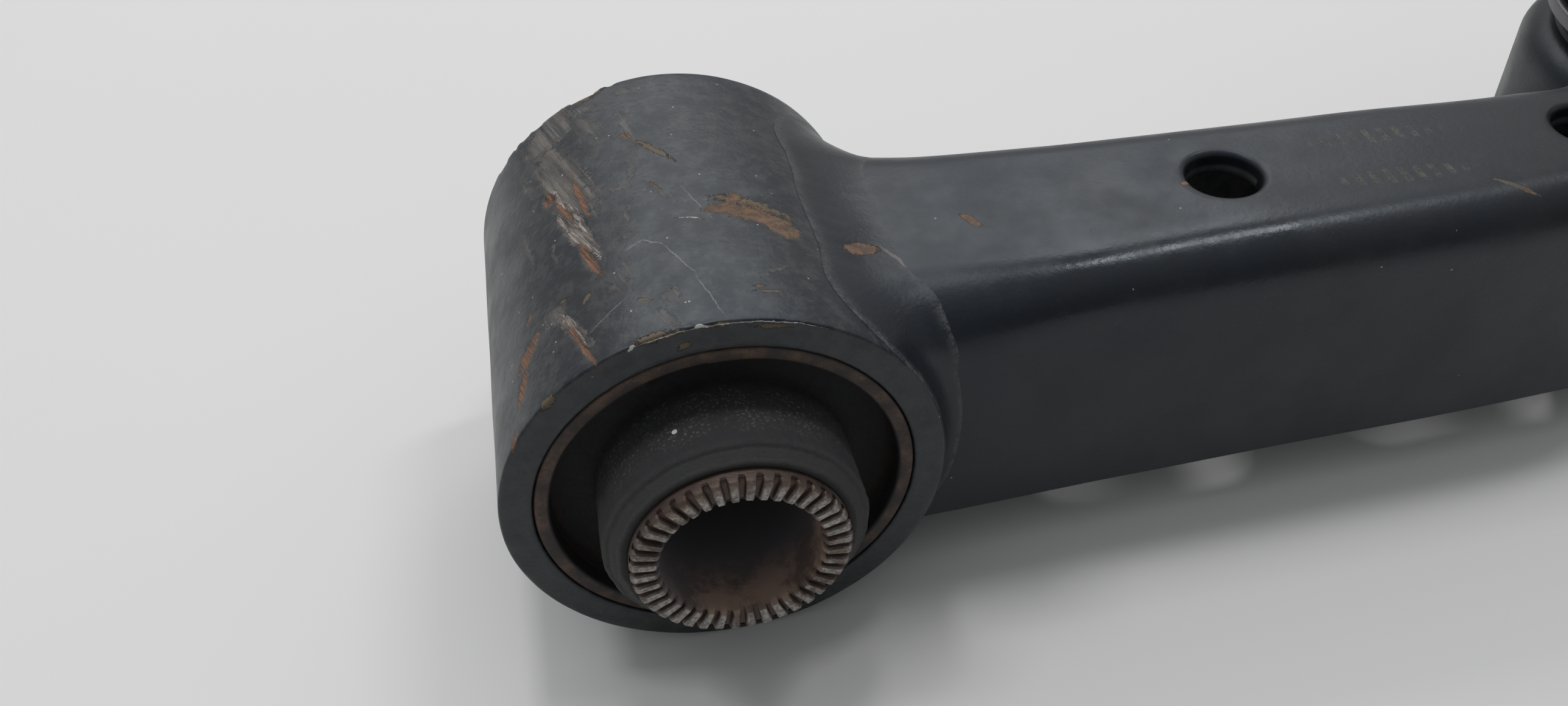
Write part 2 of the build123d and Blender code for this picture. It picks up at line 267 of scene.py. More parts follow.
TAN = [
    (-2.7, 8.1, 3.3, 0.42, -55.0), (16.2, -20.6, 1.8, 0.2, 0.0), (14.5, -19.8, 0.7, 0.22, 10.0),
    (-26.7, -14.6, 1.0, 0.32, -126.0), (-13.0, -19.0, 0.9, 0.2, -27.0), (-12.8, -25.2, 1.9, 0.6, 3.0),
    (-7.5, -25.6, 1.6, 0.35, 0.0), (2.8, -25.7, 1.2, 0.25, 3.0), (-33.6, -12.4, 0.5, 0.3, 0.0),
    (-17.5, 24.8, 2.3, 0.9, 10.0), (-24.5, 25.2, 2.4, 0.5, 0.0), (-42.5, -25.3, 1.2, 0.6, 0.0),
    (19.5, -4.6, 4.6, 1.1, -16.0), (15.5, -26.2, 2.0, 0.25, 0.0), (-6.0, -27.6, 0.8, 0.4, 20.0),
    (-4.5, 0.6, 1.0, 0.25, -60.0),
]
PALE = [
    (-1.2, -25.5, 0.8, 0.25, -10.0), (-17.8, -25.6, 0.6, 0.3, 20.0), (12.0, -25.62, 8.0, 0.07, 0.0),
    (-9.0, -25.62, 5.0, 0.06, 0.0), (3.2, -6.9, 0.8, 0.10, -8.0), (-29.0, 10.6, 0.14, 0.12, 0.0),
    (-4.3, -9.9, 0.12, 0.12, 0.0), (-2.4, -21.3, 0.13, 0.12, 0.0), (7.6, 1.5, 0.11, 0.11, 0.0),
]


def marked(angle_deg, y, marks):
    """Greatest strength, 0 to 1, of the marks at each point of the housing."""
    best = np.zeros(np.broadcast(angle_deg, y).shape)
    for mark in marks:
        a, v, half_l, half_w, turn = mark[:5]
        du, dv = (angle_deg - a) * math.radians(1) * HOUSING_R, y - v
        c, s = math.cos(math.radians(turn)), math.sin(math.radians(turn))
        d = np.hypot((du * c + dv * s) / half_l, (dv * c - du * s) / half_w)
        best = np.maximum(best, (1 - smoothstep(0.55, 1.05, d)) * (mark[5] if len(mark) > 5 else 1.0))
    return best


# ---------------------------------------------------------------- shader helpers

class Shader:
    """Small wrapper round one node tree. Inputs are given by name, or by number as i0, i1 and so on."""

    def __init__(self, tree):
        self.tree = tree
        self.x = 0

    def add(self, kind, settings=None, **inputs):
        node = self.tree.nodes.new(kind)
        self.x += 40
        node.location = (self.x, -(self.x // 40 % 8) * 160)
        for key, value in (settings or {}).items():
            setattr(node, key, value)
        for key, value in inputs.items():
            numbered = key[0] == "i" and key[1:].isdigit()
            self.put(node.inputs[int(key[1:]) if numbered else key.replace("_", " ")], value)
        return node

    def put(self, socket, value):
        if isinstance(value, bpy.types.NodeSocket):
            self.tree.links.new(value, socket)
        elif isinstance(value, (tuple, list)) and len(value) == 3 and socket.type == "RGBA":
            socket.default_value = (*value, 1.0)
        else:
            socket.default_value = value

    def math(self, operation, a, b=0.0, c=None):
        extra = {} if c is None else {"i2": c}
        return self.add("ShaderNodeMath", {"operation": operation}, i0=a, i1=b, **extra).outputs[0]

    def ramp(self, value, low, high, out_low=0.0, out_high=1.0):
        return self.add("ShaderNodeMapRange", {"interpolation_type": "SMOOTHSTEP"}, Value=value, From_Min=low,
                        From_Max=high,
                        To_Min=out_low, To_Max=out_high).outputs[0]

    def noise(self, vector, scale, detail=3.0, roughness=0.55):
        return self.add("ShaderNodeTexNoise", Vector=vector, Scale=scale, Detail=detail,
                        Roughness=roughness).outputs[0]

    def mix(self, factor, a, b):
        node = self.add("ShaderNodeMix", {"data_type": "RGBA"})
        self.put(node.inputs[0], factor)
        self.put(node.inputs[6], a)
        self.put(node.inputs[7], b)
        return node.outputs[2]

    def vector(self, operation, a, b=(0, 0, 0)):
        return self.add("ShaderNodeVectorMath", {"operation": operation}, i0=a, i1=b).outputs[0]

    def times(self, total, *values):
        for value in values:
            total = self.math("MULTIPLY", total, value)
        return total

    def plus(self, a, b):
        return self.math("ADD", a, b)

    def union(self, values):
        total = values[0]
        for value in values[1:]:
            total = self.math("MAXIMUM", total, value)
        return total

    def split(self, vector):
        return self.add("ShaderNodeSeparateXYZ", Vector=vector).outputs

    def rotate(self, vector, angle):
        return self.add("ShaderNodeVectorRotate", {"rotation_type": "Z_AXIS"}, Vector=vector,
                        Angle=angle).outputs[0]

    def cells(self, vector, scale):
        return self.add("ShaderNodeTexVoronoi", Vector=vector, Scale=scale).outputs

    def point_value(self, name):
        return self.add("ShaderNodeAttribute", {"attribute_name": name}).outputs["Fac"]

    def radius(self, xyz):
        """Distance from the bush's axis."""
        return self.math("SQRT", self.plus(self.times(xyz[0], xyz[0]), self.times(xyz[2], xyz[2])))


def new_group(name, inputs, outputs):
    group = bpy.data.node_groups.new(name, "ShaderNodeTree")
    for socket, kind, default in inputs:
        item = group.interface.new_socket(name=socket, in_out="INPUT", socket_type=kind)
        if default is not None:
            item.default_value = default
    for socket, kind in outputs:
        group.interface.new_socket(name=socket, in_out="OUTPUT", socket_type=kind)
    s = Shader(group)
    return group, s, s.add("NodeGroupInput").outputs, s.add("NodeGroupOutput").inputs


FLOAT, COLOUR, VECTOR = "NodeSocketFloat", "NodeSocketColor", "NodeSocketVector"


def millimetre_group():
    """Object coordinates in millimetres, and the bush housing's surface unrolled flat."""
    group, s, _, out = new_group("Millimetre coordinates", [], [("Position", VECTOR), ("Unrolled", VECTOR)])
    position = s.vector("MULTIPLY", s.add("ShaderNodeTexCoord").outputs["Object"], (1000, 1000, 1000))
    xyz = s.split(position)
    angle = s.math("ARCTAN2", xyz[0], xyz[2])
    radius = s.radius(xyz)
    inward = s.times(s.math("MAXIMUM", s.math("SUBTRACT", HOUSING_R - 0.1, radius), 0.0),
                     s.math("SIGN", xyz[1]))
    flat = s.add("ShaderNodeCombineXYZ", X=s.times(angle, HOUSING_R), Y=s.plus(xyz[1], inward),
                 Z=0.0).outputs[0]
    s.put(out["Position"], position)
    s.put(out["Unrolled"], flat)
    return group


def mark_group():
    """One elongated mark with a broken edge."""
    group, s, given, out = new_group(
        "Ragged mark",
        [("Vector", VECTOR, None), ("Noise", FLOAT, 0.5), ("Centre", VECTOR, (0, 0, 0)),
         ("Half length", FLOAT, 2.0),
         ("Half width", FLOAT, 1.0), ("Turn", FLOAT, 0.0), ("Ragged", FLOAT, 0.5)],
        [("Mask", FLOAT)])
    local = s.vector("SUBTRACT", given["Vector"], given["Centre"])
    rotated = s.rotate(local, s.times(given["Turn"], -1.0))
    size = s.add("ShaderNodeCombineXYZ", X=given["Half length"], Y=given["Half width"], Z=6.0).outputs[0]
    distance = s.add("ShaderNodeVectorMath", {"operation": "LENGTH"},
                     i0=s.vector("DIVIDE", rotated, size)).outputs["Value"]
    edge = s.math("MULTIPLY_ADD", s.math("SUBTRACT", given["Noise"], 0.5), given["Ragged"], distance)
    s.put(out["Mask"], s.ramp(edge, 1.08, 0.82))
    return group


def ragged_vector_group():
    """Coordinates pushed about by noise, and the noise that breaks the edges of marks."""
    group, s, given, out = new_group("Ragged vector", [("Vector", VECTOR, None), ("Push", FLOAT, 0.6)],
                                     [("Vector", VECTOR), ("Noise", FLOAT)])
    field = s.add("ShaderNodeTexNoise", Vector=given["Vector"], Scale=0.75, Detail=5.0,
                  Roughness=0.62).outputs["Color"]
    push = s.vector("MULTIPLY", s.vector("SUBTRACT", field, (0.5, 0.5, 0.5)),
                    s.add("ShaderNodeCombineXYZ", X=given["Push"], Y=given["Push"], Z=0.0).outputs[0])
    s.put(out["Vector"], s.vector("ADD", given["Vector"], push))
    coarse, fine = s.noise(given["Vector"], 0.8, 4.0, 0.6), s.noise(given["Vector"], 3.2, 6.0, 0.75)
    s.put(out["Noise"], s.math("MULTIPLY_ADD", coarse, 0.5, s.times(fine, 0.5)))
    return group


def grain_group():
    """Fine orange peel of the paint and slow changes in its gloss."""
    group, s, given, out = new_group("Paint grain", [("Vector", VECTOR, None), ("Scale", FLOAT, 1.0)],
                                     [("Height", FLOAT), ("Gloss change", FLOAT), ("Tint", FLOAT)])
    fine = s.noise(given["Vector"], s.times(given["Scale"], 1.6), 4.0, 0.55)
    s.put(out["Height"], fine)
    s.put(out["Gloss change"], s.noise(given["Vector"], s.times(given["Scale"], 0.12), 4.0, 0.6))
    s.put(out["Tint"], s.noise(given["Vector"], s.times(given["Scale"], 0.05), 2.0, 0.5))
    return group


def rust_group():
    """Orange-brown rust that varies in colour and is rough."""
    group, s, given, out = new_group("Rust", [("Vector", VECTOR, None), ("Age", FLOAT, 0.5)],
                                     [("Colour", COLOUR), ("Height", FLOAT)])
    coarse = s.noise(given["Vector"], 0.9, 5.0, 0.65)
    fine = s.noise(given["Vector"], 4.5, 3.0, 0.6)
    fresh = s.mix(s.ramp(coarse, 0.35, 0.65), (0.085, 0.053, 0.035), (0.205, 0.112, 0.060))
    old = s.mix(s.ramp(coarse, 0.3, 0.7), (0.035, 0.022, 0.018), (0.075, 0.04, 0.028))
    s.put(out["Colour"],
          s.mix(s.ramp(fine, 0.35, 0.85, 0.0, 0.35), s.mix(given["Age"], fresh, old), (0.23, 0.155, 0.10)))
    s.put(out["Height"], s.plus(coarse, s.times(fine, 0.4)))
    return group


def dust_group():
    """Pale specks and a thin film of dust."""
    group, s, given, out = new_group("Dust", [("Vector", VECTOR, None), ("Amount", FLOAT, 0.5)],
                                     [("Specks", FLOAT), ("Film", FLOAT)])
    cells = s.cells(given["Vector"], 0.42)
    spot = s.ramp(cells["Distance"], 0.075, 0.04)
    chosen = s.ramp(s.add("ShaderNodeSeparateColor", Color=cells["Color"]).outputs[0],
                    s.math("SUBTRACT", 1.0, s.times(given["Amount"], 0.2)), 1.0)
    s.put(out["Specks"], s.times(spot, s.ramp(chosen, 0.0, 0.1)))
    s.put(out["Film"], s.times(s.ramp(s.noise(given["Vector"], 0.22, 6.0, 0.7), 0.45, 0.8), given["Amount"]))
    return group


def scratch_group():
    """Sparse fine hairline scratches in two directions."""
    group, s, given, out = new_group("Hairline scratches", [("Vector", VECTOR, None), ("Amount", FLOAT, 0.5)],
                                     [("Mask", FLOAT)])
    masks = []
    for turn, stretch in ((0.5, 14.0), (-0.9, 10.0)):
        turned_vector = s.rotate(given["Vector"], turn)
        line = s.noise(s.vector("MULTIPLY", turned_vector, (1.0 / stretch, 2.2, 0.3)), 1.0, 2.0, 0.5)
        masks.append(s.ramp(s.math("ABSOLUTE", s.math("SUBTRACT", line, 0.5)), 0.006, 0.0))
    patchy = s.ramp(s.noise(given["Vector"], 0.16, 2.0), 0.5, 0.72)
    s.put(out["Mask"], s.times(s.union(masks), patchy, given["Amount"]))
    return group


def use_group(s, name, **inputs):
    node = s.add("ShaderNodeGroup", {"node_tree": bpy.data.node_groups[name]})
    for key, value in inputs.items():
        s.put(node.inputs[key.replace("_", " ")], value)
    return node.outputs


def millimetres(s):
    return use_group(s, "Millimetre coordinates")["Position"]


def new_material(name):
    material = bpy.data.materials.new(name)
    material.use_nodes = True
    material.node_tree.nodes.clear()
    s = Shader(material.node_tree)
    principled = s.add("ShaderNodeBsdfPrincipled")
    output = s.add("ShaderNodeOutputMaterial", Surface=principled.outputs[0])
    principled.location, output.location = (2600, 0), (2900, 0)
    return material, s, principled.inputs


def cool_gloss(shader):
    """The paint's slightly blue, slightly weak reflection."""
    shader["Specular IOR Level"].default_value = 0.45
    shader["Specular Tint"].default_value = (0.84, 0.92, 1.0, 1.0)


def connect(s, shader, colour, roughness, height, depth):
    """Connects colour, roughness and a bump that is depth metres deep."""
    s.put(shader["Base Color"], colour)
    s.put(shader["Roughness"], roughness)
    s.put(shader["Normal"], s.add("ShaderNodeBump", Height=height, Distance=depth, Strength=1.0).outputs[0])


def one_mark(s, ragged_vector, centre, half_l, half_w, turn, ragged):
    return use_group(s, "Ragged mark", Vector=ragged_vector["Vector"], Noise=ragged_vector["Noise"],
                     Centre=centre, Half_length=half_l, Half_width=half_w, Turn=math.radians(turn),
                     Ragged=ragged)["Mask"]


def mark_masks(s, ragged_vector, marks, ragged):
    """Union of the masks of a list of marks on the unrolled housing."""
    return s.union([one_mark(s, ragged_vector, (math.radians(mark[0]) * HOUSING_R, mark[1], 0.0), *mark[2:5],
                             ragged) for mark in marks])


def streaks_along(s, vector, degrees, scale):
    """Fine lines that run at an angle on the unrolled housing."""
    turned_vector = s.rotate(vector, -math.radians(degrees))
    return s.noise(s.vector("MULTIPLY", turned_vector, (0.12 * scale, 2.2 * scale, 1.0)), 1.0, 4.0, 0.65)


def painted_base(s, vector, colour):
    """Colour, roughness and height of the satin paint with its grain, dust and hairlines."""
    grain = use_group(s, "Paint grain", Vector=vector, Scale=1.0)
    dust = use_group(s, "Dust", Vector=vector, Amount=0.5)
    hair = use_group(s, "Hairline scratches", Vector=vector, Amount=0.6)
    tint = s.mix(s.ramp(grain["Tint"], 0.35, 0.65), colour,
                 tuple(c * f for c, f in zip(colour, (0.8, 0.92, 1.12))))
    base = s.mix(s.times(dust["Film"], 0.06), tint, (0.20, 0.20, 0.19))
    base = s.mix(s.times(hair["Mask"], 0.30), base, (0.12, 0.125, 0.13))
    base = s.mix(s.times(dust["Specks"], 0.6), base, (0.42, 0.41, 0.38))
    rough = s.ramp(grain["Gloss change"], 0.3, 0.7, 0.31, 0.44)
    rough = s.plus(rough, s.times(dust["Film"], 0.12))
    height = s.plus(grain["Height"], s.times(dust["Specks"], 0.8))
    return base, rough, height


def mark_on_top(s, ragged_vector, x, y, half_l, half_w, turn, ragged, z=ARM_TOP):
    """A mark seen from above, on the arm or on its weld."""
    return one_mark(s, ragged_vector, (x, y, z), half_l, half_w, turn, ragged)


def arm_paint_material(colour):
    """Paint of the pressing: worn print, rust specks, a polished corner and a paler inside, which is painted
    light standing in for light inside the arm.
    """
    material, s, shader = new_material("Arm paint")
    cool_gloss(shader)
    solid = millimetres(s)
    base, rough, height = painted_base(s, solid, colour)
    axes = s.split(solid)
    # Painted light: the inner faces, seen through the holes, are painted pale in patches to stand in for
    # light inside the arm; the hole rims above z 15.6 are left out.
    inside = s.times(s.point_value("inside"), s.ramp(axes[2], 15.6, 14.8))
    patchy = s.ramp(s.noise(solid, 0.4, 4.0, 0.6), 0.3, 0.6, 0.5, 0.9)
    base = s.mix(s.times(inside, patchy), base, (0.26, 0.27, 0.26))
    ragged = use_group(s, "Ragged vector", Vector=solid, Push=0.9)
    rusty = s.union([mark_on_top(s, ragged, *mark) for mark in
                     [(34.8, -5.0, 1.8, 0.6, -62.0, 0.9), (62.2, -4.9, 0.7, 0.35, 0.0, 0.8),
                      (100.6, -16.8, 0.8, 0.2, -40.0, 1.2), (48.0, -10.5, 0.35, 0.2, 0.0, 0.8)]])
    tan = s.union([mark_on_top(s, ragged, *mark) for mark in
                   [(99.6, -15.8, 2.6, 0.3, -40.0, 1.6), (94.0, 6.4, 4.5, 0.6, -8.0, 1.2)]])
    even = {"Vector": solid, "Noise": ragged["Noise"]}
    stencil = s.union([mark_on_top(s, even, x, y, half_l, 1.55, -5.0, 0.5)
                       for x, y, half_l in [(88.5, -1.8, 9.5), (88.0, -10.3, 9.0)]])
    dashes = s.ramp(s.math("SINE", s.times(axes[0], 3.3)), -0.1, 0.5)
    ghost = s.times(stencil, s.times(dashes, s.ramp(ragged["Noise"], 0.42, 0.58)))
    rust = use_group(s, "Rust", Vector=solid, Age=0.25)
    base = s.mix(s.times(ghost, 0.7), base, (0.105, 0.092, 0.066))
    base = s.mix(s.times(tan, 0.75), base, (0.12, 0.098, 0.066))
    base = s.mix(rusty, base, rust["Colour"])
    worn = s.union([rusty, tan, s.times(ghost, 0.5)])
    rubbed = s.times(s.times(s.ramp(axes[0], 24.0, 42.0), s.ramp(axes[0], 82.0, 66.0)),
                     s.times(s.ramp(axes[1], -11.0, -15.0), s.ramp(axes[2], 9.0, 14.0)))
    rough = s.math("MULTIPLY_ADD", worn, 0.3, s.math("MULTIPLY_ADD", rubbed, -0.135, rough))
    connect(s, shader, base, rough, s.plus(height, s.times(worn, -1.5)), 0.00003)
    return material


def housing_paint_material(colour):
    """Paint of the housing tube, scraped down to metal and rust by the marks above."""
    material, s, shader = new_material("Scraped housing paint")
    cool_gloss(shader)
    place_mm = use_group(s, "Millimetre coordinates")
    flat, solid = place_mm["Unrolled"], place_mm["Position"]
    base, rough, height = painted_base(s, solid, colour)
    ragged = use_group(s, "Ragged vector", Vector=flat, Push=2.2)
    fine = use_group(s, "Ragged vector", Vector=flat, Push=0.8)
    scraped = mark_masks(s, ragged, SCRAPED, 3.0)
    scuff = s.math("MAXIMUM", scraped, s.times(mark_masks(s, ragged, SCUFFS, 4.0), 0.55))
    hair = s.times(mark_masks(s, fine, HAIRLINES, 0.6), s.ramp(ragged["Noise"], 0.36, 0.52))
    bare_area = mark_masks(s, fine, BARE, 2.5)
    rust_area = mark_masks(s, fine, RUST, 3.2)
    tan = mark_masks(s, fine, TAN, 3.6)
    pale = mark_masks(s, fine, PALE, 3.0)
    streaks = streaks_along(s, flat, -71.0, 1.0)
    wide_streaks = streaks_along(s, flat, -73.0, 0.45)
    rust = use_group(s, "Rust", Vector=solid, Age=0.12)
    old_rust = use_group(s, "Rust", Vector=solid, Age=0.8)
    cloudy = s.times(s.ramp(s.noise(flat, 0.17, 6.0, 0.7), 0.50, 0.70), s.ramp(ragged["Noise"], 0.35, 0.65))
    base = s.mix(s.times(cloudy, 0.30), base, (0.070, 0.075, 0.082))
    smudge = s.ramp(s.noise(s.vector("ADD", flat, (31.0, 17.0, 0.0)), 0.42, 6.0, 0.72), 0.44, 0.62)
    base = s.mix(s.times(smudge, 0.38), base, (0.070, 0.073, 0.068))
    crumbs = s.times(s.ramp(s.cells(flat, 0.55)["Distance"], 0.085, 0.045),
                     s.ramp(s.noise(flat, 0.16, 2.0), 0.50, 0.56))
    base = s.mix(s.times(crumbs, 0.8), base, (0.42, 0.40, 0.35))
    rim_face = s.ramp(s.math("ABSOLUTE", s.split(solid)[1]), 25.35, 25.48)
    base = s.mix(s.times(rim_face, 0.6), base, (0.034, 0.035, 0.032))
    both_streaks = s.plus(s.times(streaks, 0.6), s.times(wide_streaks, 0.4))
    scuffed = s.times(scuff, s.ramp(both_streaks, 0.36, 0.58, 0.25, 1.0))
    scuff_colour = s.mix(s.ramp(wide_streaks, 0.40, 0.62), (0.072, 0.071, 0.066), (0.185, 0.165, 0.142))
    scuff_colour = s.mix(s.times(s.ramp(s.noise(flat, 0.35, 4.0, 0.65), 0.46, 0.62), 0.6), scuff_colour,
                         (0.115, 0.080, 0.060))
    base = s.mix(s.times(scuffed, 0.85), base, scuff_colour)
    base = s.mix(s.times(hair, 0.8), base, (0.15, 0.15, 0.15))
    fine_streaks = streaks_along(s, flat, -68.0, 2.2)
    base = s.mix(s.times(bare_area, 0.75), base,
                 s.mix(s.ramp(streaks, 0.4, 0.6), (0.10, 0.072, 0.056), (0.16, 0.13, 0.11)))
    bare = s.times(bare_area, s.ramp(fine_streaks, 0.47, 0.60))
    base = s.mix(bare, base, s.mix(s.ramp(streaks, 0.45, 0.65), (0.30, 0.26, 0.235), (0.60, 0.57, 0.54)))
    edge_rust = s.mix(s.ramp(fine["Noise"], 0.42, 0.60), rust["Colour"], (0.105, 0.085, 0.045))
    base = s.mix(s.times(tan, 0.8), base, (0.135, 0.10, 0.06))
    base = s.mix(s.ramp(rust_area, 0.0, 0.45), base,
                 s.mix(s.ramp(rust_area, 0.45, 1.0), edge_rust, rust["Colour"]))
    base = s.mix(s.times(rust_area, s.ramp(streaks, 0.55, 0.70), 0.5), base, old_rust["Colour"])
    gouged = s.times(rust_area, s.ramp(s.split(flat)[0], 2.0, -2.0))
    orange = s.mix(s.ramp(fine_streaks, 0.40, 0.60), (0.075, 0.048, 0.036), (0.29, 0.130, 0.068))
    base = s.mix(s.times(gouged, 0.65), base, orange)
    base = s.mix(s.times(pale, 0.85), base, (0.52, 0.51, 0.48))
    worn = s.union([s.times(scuffed, 0.6), rust_area, tan, pale])
    s.put(shader["Metallic"], s.times(bare, 0.3))
    layers = s.times(s.math("MAXIMUM", scuffed, bare_area), s.times(streaks, 4.0))
    layers = s.plus(layers, s.times(rust_area, s.times(fine["Noise"], 4.0)))
    layers = s.plus(layers, s.times(worn, -2.5))
    connect(s, shader, base, s.math("MULTIPLY_ADD", worn, 0.30, rough), s.plus(height, layers), 0.00005)
    return material


def weld_paint_material(colour):
    """Paint over the bead, with a pale line along its toes."""
    material, s, shader = new_material("Painted weld")
    cool_gloss(shader)
    solid = millimetres(s)
    base, rough, height = painted_base(s, solid, colour)
    ragged = use_group(s, "Ragged vector", Vector=solid, Push=1.2)
    toe = s.point_value("toe")
    line = s.times(s.ramp(toe, 0.15, 0.8), s.ramp(ragged["Noise"], 0.36, 0.62))
    patch = mark_on_top(s, ragged, 20.4, -8.0, 2.3, 1.15, 12.0, 1.0, 18.5)
    chalk = mark_on_top(s, ragged, 24.5, -10.0, 3.6, 0.28, -62.0, 0.8, 17.5)
    rust = use_group(s, "Rust", Vector=solid, Age=0.25)
    base = s.mix(s.times(line, 0.55), base, (0.14, 0.143, 0.143))
    base = s.mix(s.times(chalk, 0.6), base, (0.22, 0.20, 0.18))
    rough = s.math("MULTIPLY_ADD", s.union([line, patch, chalk]), 0.3, rough)
    height = s.plus(height, s.times(patch, -2.0))
    connect(s, shader, s.mix(patch, base, rust["Colour"]), rough, height, 0.00005)
    return material


def plain_paint_material(colour):
    """Clean paint with a thin pale line round the cup and across the plate's top: settled dust made pale as
    painted light.
    """
    material, s, shader = new_material("Satin black paint")
    cool_gloss(shader)
    shader["Specular IOR Level"].default_value = 0.32
    solid = millimetres(s)
    base, rough, height = painted_base(s, solid, colour)
    z = s.split(solid)[2]
    # Painted light: the band at z -12.9 to -12.4, on the plate's top and round the cup, is settled dust made
    # pale enough to stand in for light on the plate seen through the arm's holes.
    settled_dust_and_painted_light = s.times(s.ramp(z, -12.9, -12.75), s.ramp(z, -12.4, -12.6))
    connect(s, shader, s.mix(s.times(settled_dust_and_painted_light, 0.8), base, (0.30, 0.31, 0.29)), rough, height, 0.00003)
    return material


def sleeve_ring_material():
    """Dark rust on the sleeve's end, darker still in its bore."""
    material, s, shader = new_material("Rusty outer sleeve")
    solid = millimetres(s)
    rust = use_group(s, "Rust", Vector=solid, Age=0.92)
    xyz = s.split(solid)
    radius = s.radius(xyz)
    smear = s.ramp(s.noise(solid, 0.35, 4.0, 0.6), 0.35, 0.65)
    ring = s.mix(smear, rust["Colour"], (0.036, 0.029, 0.026))
    shader["Metallic"].default_value = 0.25
    base = s.mix(s.ramp(radius, 20.4, 20.8), (0.030, 0.028, 0.028), ring)
    connect(s, shader, base, s.ramp(smear, 0.0, 1.0, 0.5, 0.62), rust["Height"], 0.00005)
    return material


def tooth_steel_material():
    """Bright tooth tops, grooves and outer rim painted dark brown, and a rusty bolt bore whose wall has
    painted light and shade.
    """
    material, s, shader = new_material("Serrated sleeve steel")
    solid = millimetres(s)
    xyz = s.split(solid)
    height = s.point_value("groove")
    radius = s.radius(xyz)
    bore = s.ramp(radius, 9.75, 9.45)
    rust = use_group(s, "Rust", Vector=solid, Age=0.45)
    dark_rust = use_group(s, "Rust", Vector=solid, Age=0.85)
    brushed = s.noise(s.vector("MULTIPLY", solid, (1.2, 5.0, 1.2)), 1.5, 4.0, 0.7)
    steel = s.mix(s.ramp(brushed, 0.35, 0.7), (0.17, 0.155, 0.142), (0.43, 0.405, 0.385))
    stain = s.ramp(s.noise(solid, 0.3, 4.0, 0.65), 0.48, 0.66)
    steel = s.mix(s.times(stain, 0.8), steel, dark_rust["Colour"])
    browned = s.times(s.ramp(radius, 10.9, 12.0), s.ramp(xyz[2], 5.0, 10.0))
    steel = s.mix(s.times(browned, 0.65), steel, rust["Colour"])
    rim = s.times(s.ramp(radius, 12.1, 12.4), 0.7)
    face = s.mix(s.math("MAXIMUM", s.ramp(height, 0.2, 0.6), rim), steel, (0.085, 0.060, 0.050))
    # Painted light and shade in the bolt bore: its wall is grey deep inside and on the upper left, and shows
    # its rusty brown near the mouth on the lower right, where light falls.
    painted_light_at_mouth = s.ramp(s.math("ABSOLUTE", xyz[1]), 26.0, 34.0)
    lit = s.ramp(s.plus(xyz[0], s.times(xyz[2], -0.8)), -6.0, 4.0)
    blotch = s.ramp(s.noise(solid, 0.22, 4.0, 0.65), 0.35, 0.65, 0.7, 1.25)
    brown = s.mix(s.ramp(blotch, 0.7, 1.25), (0.12, 0.085, 0.068), (0.31, 0.215, 0.165))
    wall = s.mix(s.times(painted_light_at_mouth, s.math("MULTIPLY_ADD", lit, 0.75, 0.25)), (0.115, 0.110, 0.120), brown)
    s.put(shader["Metallic"], s.times(s.math("SUBTRACT", 1.0, bore), 0.65))
    rough = s.math("MULTIPLY_ADD", bore, 0.28, s.ramp(brushed, 0.3, 0.7, 0.50, 0.38))
    connect(s, shader, s.mix(bore, face, wall), rough, s.plus(brushed, rust["Height"]), 0.00006)
    return material


def bush_rubber_material():
    """Matt rubber with grit on the collar and brown at the outer sleeve."""
    material, s, shader = new_material("Bush rubber")
    solid = millimetres(s)
    xyz = s.split(solid)
    depth = s.math("ABSOLUTE", xyz[1])
    radius = s.radius(xyz)
    speckle = s.noise(solid, 1.7, 6.0, 0.8)
    band = s.times(s.ramp(depth, 22.6, 24.2), s.ramp(depth, 31.5, 28.5), s.ramp(radius, 16.5, 15.6),
                   s.ramp(xyz[2], -8.0, 8.0))
    bloom = s.times(band, s.ramp(s.noise(solid, 0.22, 3.0, 0.6), 0.36, 0.60, 0.3, 1.0))
    dots = s.cells(solid, 2.3)["Distance"]
    grit = s.times(s.ramp(dots, 0.50, 0.18), s.ramp(speckle, 0.40, 0.58), bloom)
    base = s.mix(s.times(bloom, 0.6), (0.032, 0.032, 0.035), (0.042, 0.042, 0.041))
    base = s.mix(s.times(grit, 0.7), base, (0.18, 0.18, 0.17))
    face = s.times(s.ramp(depth, 31.0, 32.4), s.ramp(radius, 15.3, 14.9))
    base = s.mix(s.times(face, 0.8), base, (0.052, 0.052, 0.051))
    smear = s.times(s.ramp(radius, 19.2, 20.1), s.ramp(s.noise(solid, 0.5, 4.0, 0.6), 0.35, 0.6, 0.4, 1.0))
    base = s.mix(smear, base, (0.050, 0.038, 0.033))
    away = s.add("ShaderNodeVectorMath", {"operation": "DISTANCE"}, i0=solid, i1=CRUMB).outputs["Value"]
    crumb = s.ramp(away, CRUMB_R + 0.06, CRUMB_R - 0.04)
    base = s.mix(crumb, base, (0.75, 0.74, 0.72))
    connect(s, shader, base, s.ramp(speckle, 0.3, 0.7, 0.62, 0.78), speckle, 0.00018)
    shader["Specular IOR Level"].default_value = 0.35
    return material


def boot_rubber_material():
    """Smooth rubber with a little dust."""
    material, s, shader = new_material("Boot rubber")
    solid = millimetres(s)
    grain = s.noise(solid, 2.0, 4.0, 0.6)
    dusty = s.ramp(s.noise(solid, 0.15, 4.0, 0.6), 0.45, 0.75)
    base = s.mix(s.times(dusty, 0.3), (0.012, 0.014, 0.02), (0.06, 0.055, 0.05))
    connect(s, shader, base, s.ramp(grain, 0.3, 0.7, 0.42, 0.55), grain, 0.00004)
    return material


